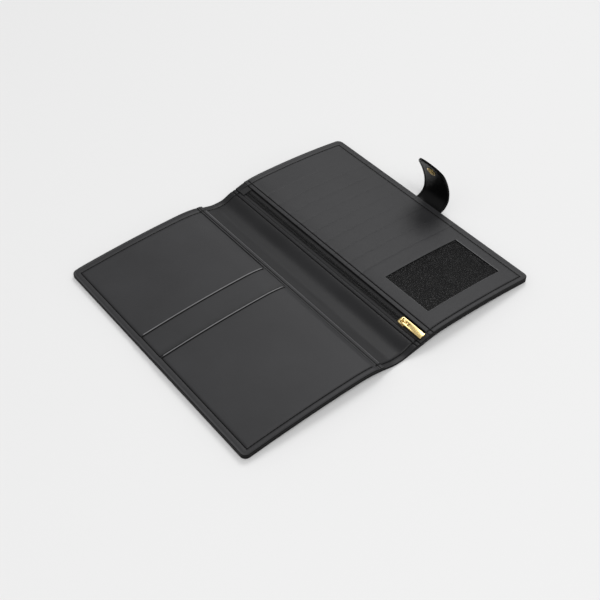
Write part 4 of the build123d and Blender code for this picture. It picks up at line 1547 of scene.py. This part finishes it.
def buildStitches():
    side, near, far = border["side"], border["near"], walletHeight - border["far"]
    left = [(backPanelEnd - 0.6, far), (side, far), (side, near), (backPanelEnd - 0.6, near)]
    bind = flatSpan("left_spine_binding")[0] + pockets["bindingSeam"]
    rows = beadRow("stitches_left", [
        seamRun(left, leftPanelTop),
        seamRun([(bind, near + 3), (bind, far - 3)], lambda x, y: leftPanelTop(x, y) + 0.02),
    ], stitchLook, thread)
    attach(finish(rows, "panel_leather"), "left_cover")
    start = backPanelEnd + 0.8
    rows = beadRow("stitches_spine_left", [
        seamRun([(start, y), (spineMiddle, y)], liningSeamTop) for y in (near, far)], stitchLook, thread)
    bendLeft(finish(rows, "lining_leather"))
    rows = beadRow("stitches_spine_right", [
        seamRun([(spineMiddle + 0.6, y), (trenchLeft - 1.2, y)], liningSeamTop) for y in (near, far)
    ] + [seamRun([(liningStitch, near + 3), (liningStitch, far - 3)], liningSeamTop)], stitchLook, thread)
    bendRight(finish(rows, "lining_leather"))
    edge = walletWidth - side
    right = [(trenchRight + 0.8, cards["near"]), (edge, cards["near"]), (edge, far), (trenchRight + 0.8, far)]
    rows = beadRow("stitches_right", [
        seamRun(right, rightPanelTop),
        seamRun([(trenchSeam, cards["near"] + 3), (trenchSeam, far - 3)], rightPanelTop),
    ], stitchLook, thread)
    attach(finish(rows, "panel_leather"), "right_cover")
    start, end = spineMiddle - 0.5, spineMiddle + 0.8
    left = [(start, far), (side, far), (side, near), (start, near)]
    right = [(end, near), (edge, near), (edge, far), (end, far)]
    for name, points, bend in (("stitches_under_left", left, bendLeft),
                               ("stitches_under_right", right, bendRight)):
        rows = beadRow(name, [seamRun(points, lambda x, y: coverUnder(x, y) - 0.02)],
                       dict(stitchLook, height=0.2), thread)
        bend(finish(rows, "cover_leather"))


def buildStrapStitches():
    inset, half = strapShape["seam"], strapWidth / 2
    end = strapShape["length"] - half
    arc = half - inset
    mid = strapShape["thick"] / 2
    for name, (s0, s1) in strapEnds.items():
        s0 = max(s0, 1.2)
        for face, lift in (("inner", mid - 0.12), ("outer", -mid + 0.12)):
            if name == "strap_tip":
                angles = np.radians(range(0, 181, 6))
                turn = [(end + arc * sin(a), strapCentre - arc * cos(a)) for a in angles]
                runs = [[(s0 + 0.6, strapCentre - arc)] + turn + [(s0 + 0.6, strapCentre + arc)]]
            else:
                sides = (strapCentre - arc, strapCentre + arc)
                runs = [[(s0 + 0.6, y), (s1 - 0.5, y)] for y in sides]
            placed = [seamRun(run, lambda s, y: np.full(s.shape, lift), place=onStrap) for run in runs]
            rows = beadRow(f"{name}_{face}_stitches", placed, strapStitch, thread)
            bendStrap(finish(rows, "strap_leather"), name)


buildZip()
buildSlider()
buildPull()
buildStops()
print("zip made")
buildStrap()
buildSnap()
buildStud()
print("strap and snap made")
buildStitches()
buildStrapStitches()
print("stitches made")

# what lies inside: the pocket's cloth, and the boards, which keep the frame's shape

def buildPocketLining():
    x0, x1, y0, y1 = flatSpan("zip_pocket_lining")
    low, high = lifts["pocketLining"]
    cloth = leaf("pocket_cloth", (x0, x1, y0, y1), low, high, pocketCloth, step=(3.0, 5.0), edge=0.1)
    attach(finish(cloth, "pocket_fabric", "zip_pocket_lining"), "right_cover")
    flat = ((x1 - x0) * mm, (y1 - y0) * mm)


buildPocketLining()
for name in ("left_stiffener_board", "right_stiffener_board"):
    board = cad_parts[name]
    board.data.materials.clear()
    board.data.materials.append(greyBoard)

# floor, light and camera

studio = {
    "floor": (0.83, 0.83, 0.83),
    "floorSize": 6.0,
    "worldStrength": 0.4,
    "lights": [  # name, place, size and watts
        ("key", (-0.9, -2.2, 3.2), 2.0, 84.0),
        ("top", (1.68, 1.08, 2.6), 1.5, 35.0),
    ],
    "cameraPlace": (-0.3452, -0.4251, 0.5249),
    "cameraPitch": 44.8,
    "cameraTurn": -38.7,
    "lens": 60.0,
}


def buildStudio():
    size = studio["floorSize"]
    corners = [(x * size, y * size, -0.2 * mm) for x, y in ((-1, -1), (1, -1), (1, 1), (-1, 1))]
    paper = Bench("floorPaper")
    spot = paper.node("ShaderNodeTexCoord", None, None, 3)
    cloud = paper.node("ShaderNodeTexNoise", None, {"Vector": spot, "Scale": 3.0})
    floor = studio["floor"]
    pale = paper.ramp(cloud, (0.0, floor), (1.0, tuple(c * 0.995 for c in floor)))
    surface = paper.surface({"Base Color": pale, "Roughness": 0.9})
    meshObject("floor", corners, [(0, 1, 2, 3)], material=surface)
    world = bpy.data.worlds.new("studio")
    world.use_nodes = True
    world.node_tree.nodes["Background"].inputs[0].default_value = (1, 1, 1, 1)
    world.node_tree.nodes["Background"].inputs[1].default_value = studio["worldStrength"]
    bpy.context.scene.world = world
    for name, place, width, watts in studio["lights"]:
        lamp = bpy.data.lights.new(name, "AREA")
        lamp.size = width
        lamp.energy = watts
        item = addObject(name, lamp)
        item.location = place
        item.rotation_euler = (-Vector(place)).to_track_quat("-Z", "Y").to_euler()
    lens = bpy.data.cameras.new("camera")
    lens.lens = studio["lens"]
    lens.sensor_width = 36.0
    camera = addObject("camera", lens)
    camera.location = studio["cameraPlace"]
    camera.rotation_euler = (radians(studio["cameraPitch"]), 0, radians(studio["cameraTurn"]))
    bpy.context.scene.camera = camera
    bpy.context.scene.view_settings.view_transform = "Standard"


buildStudio()
print("studio made")
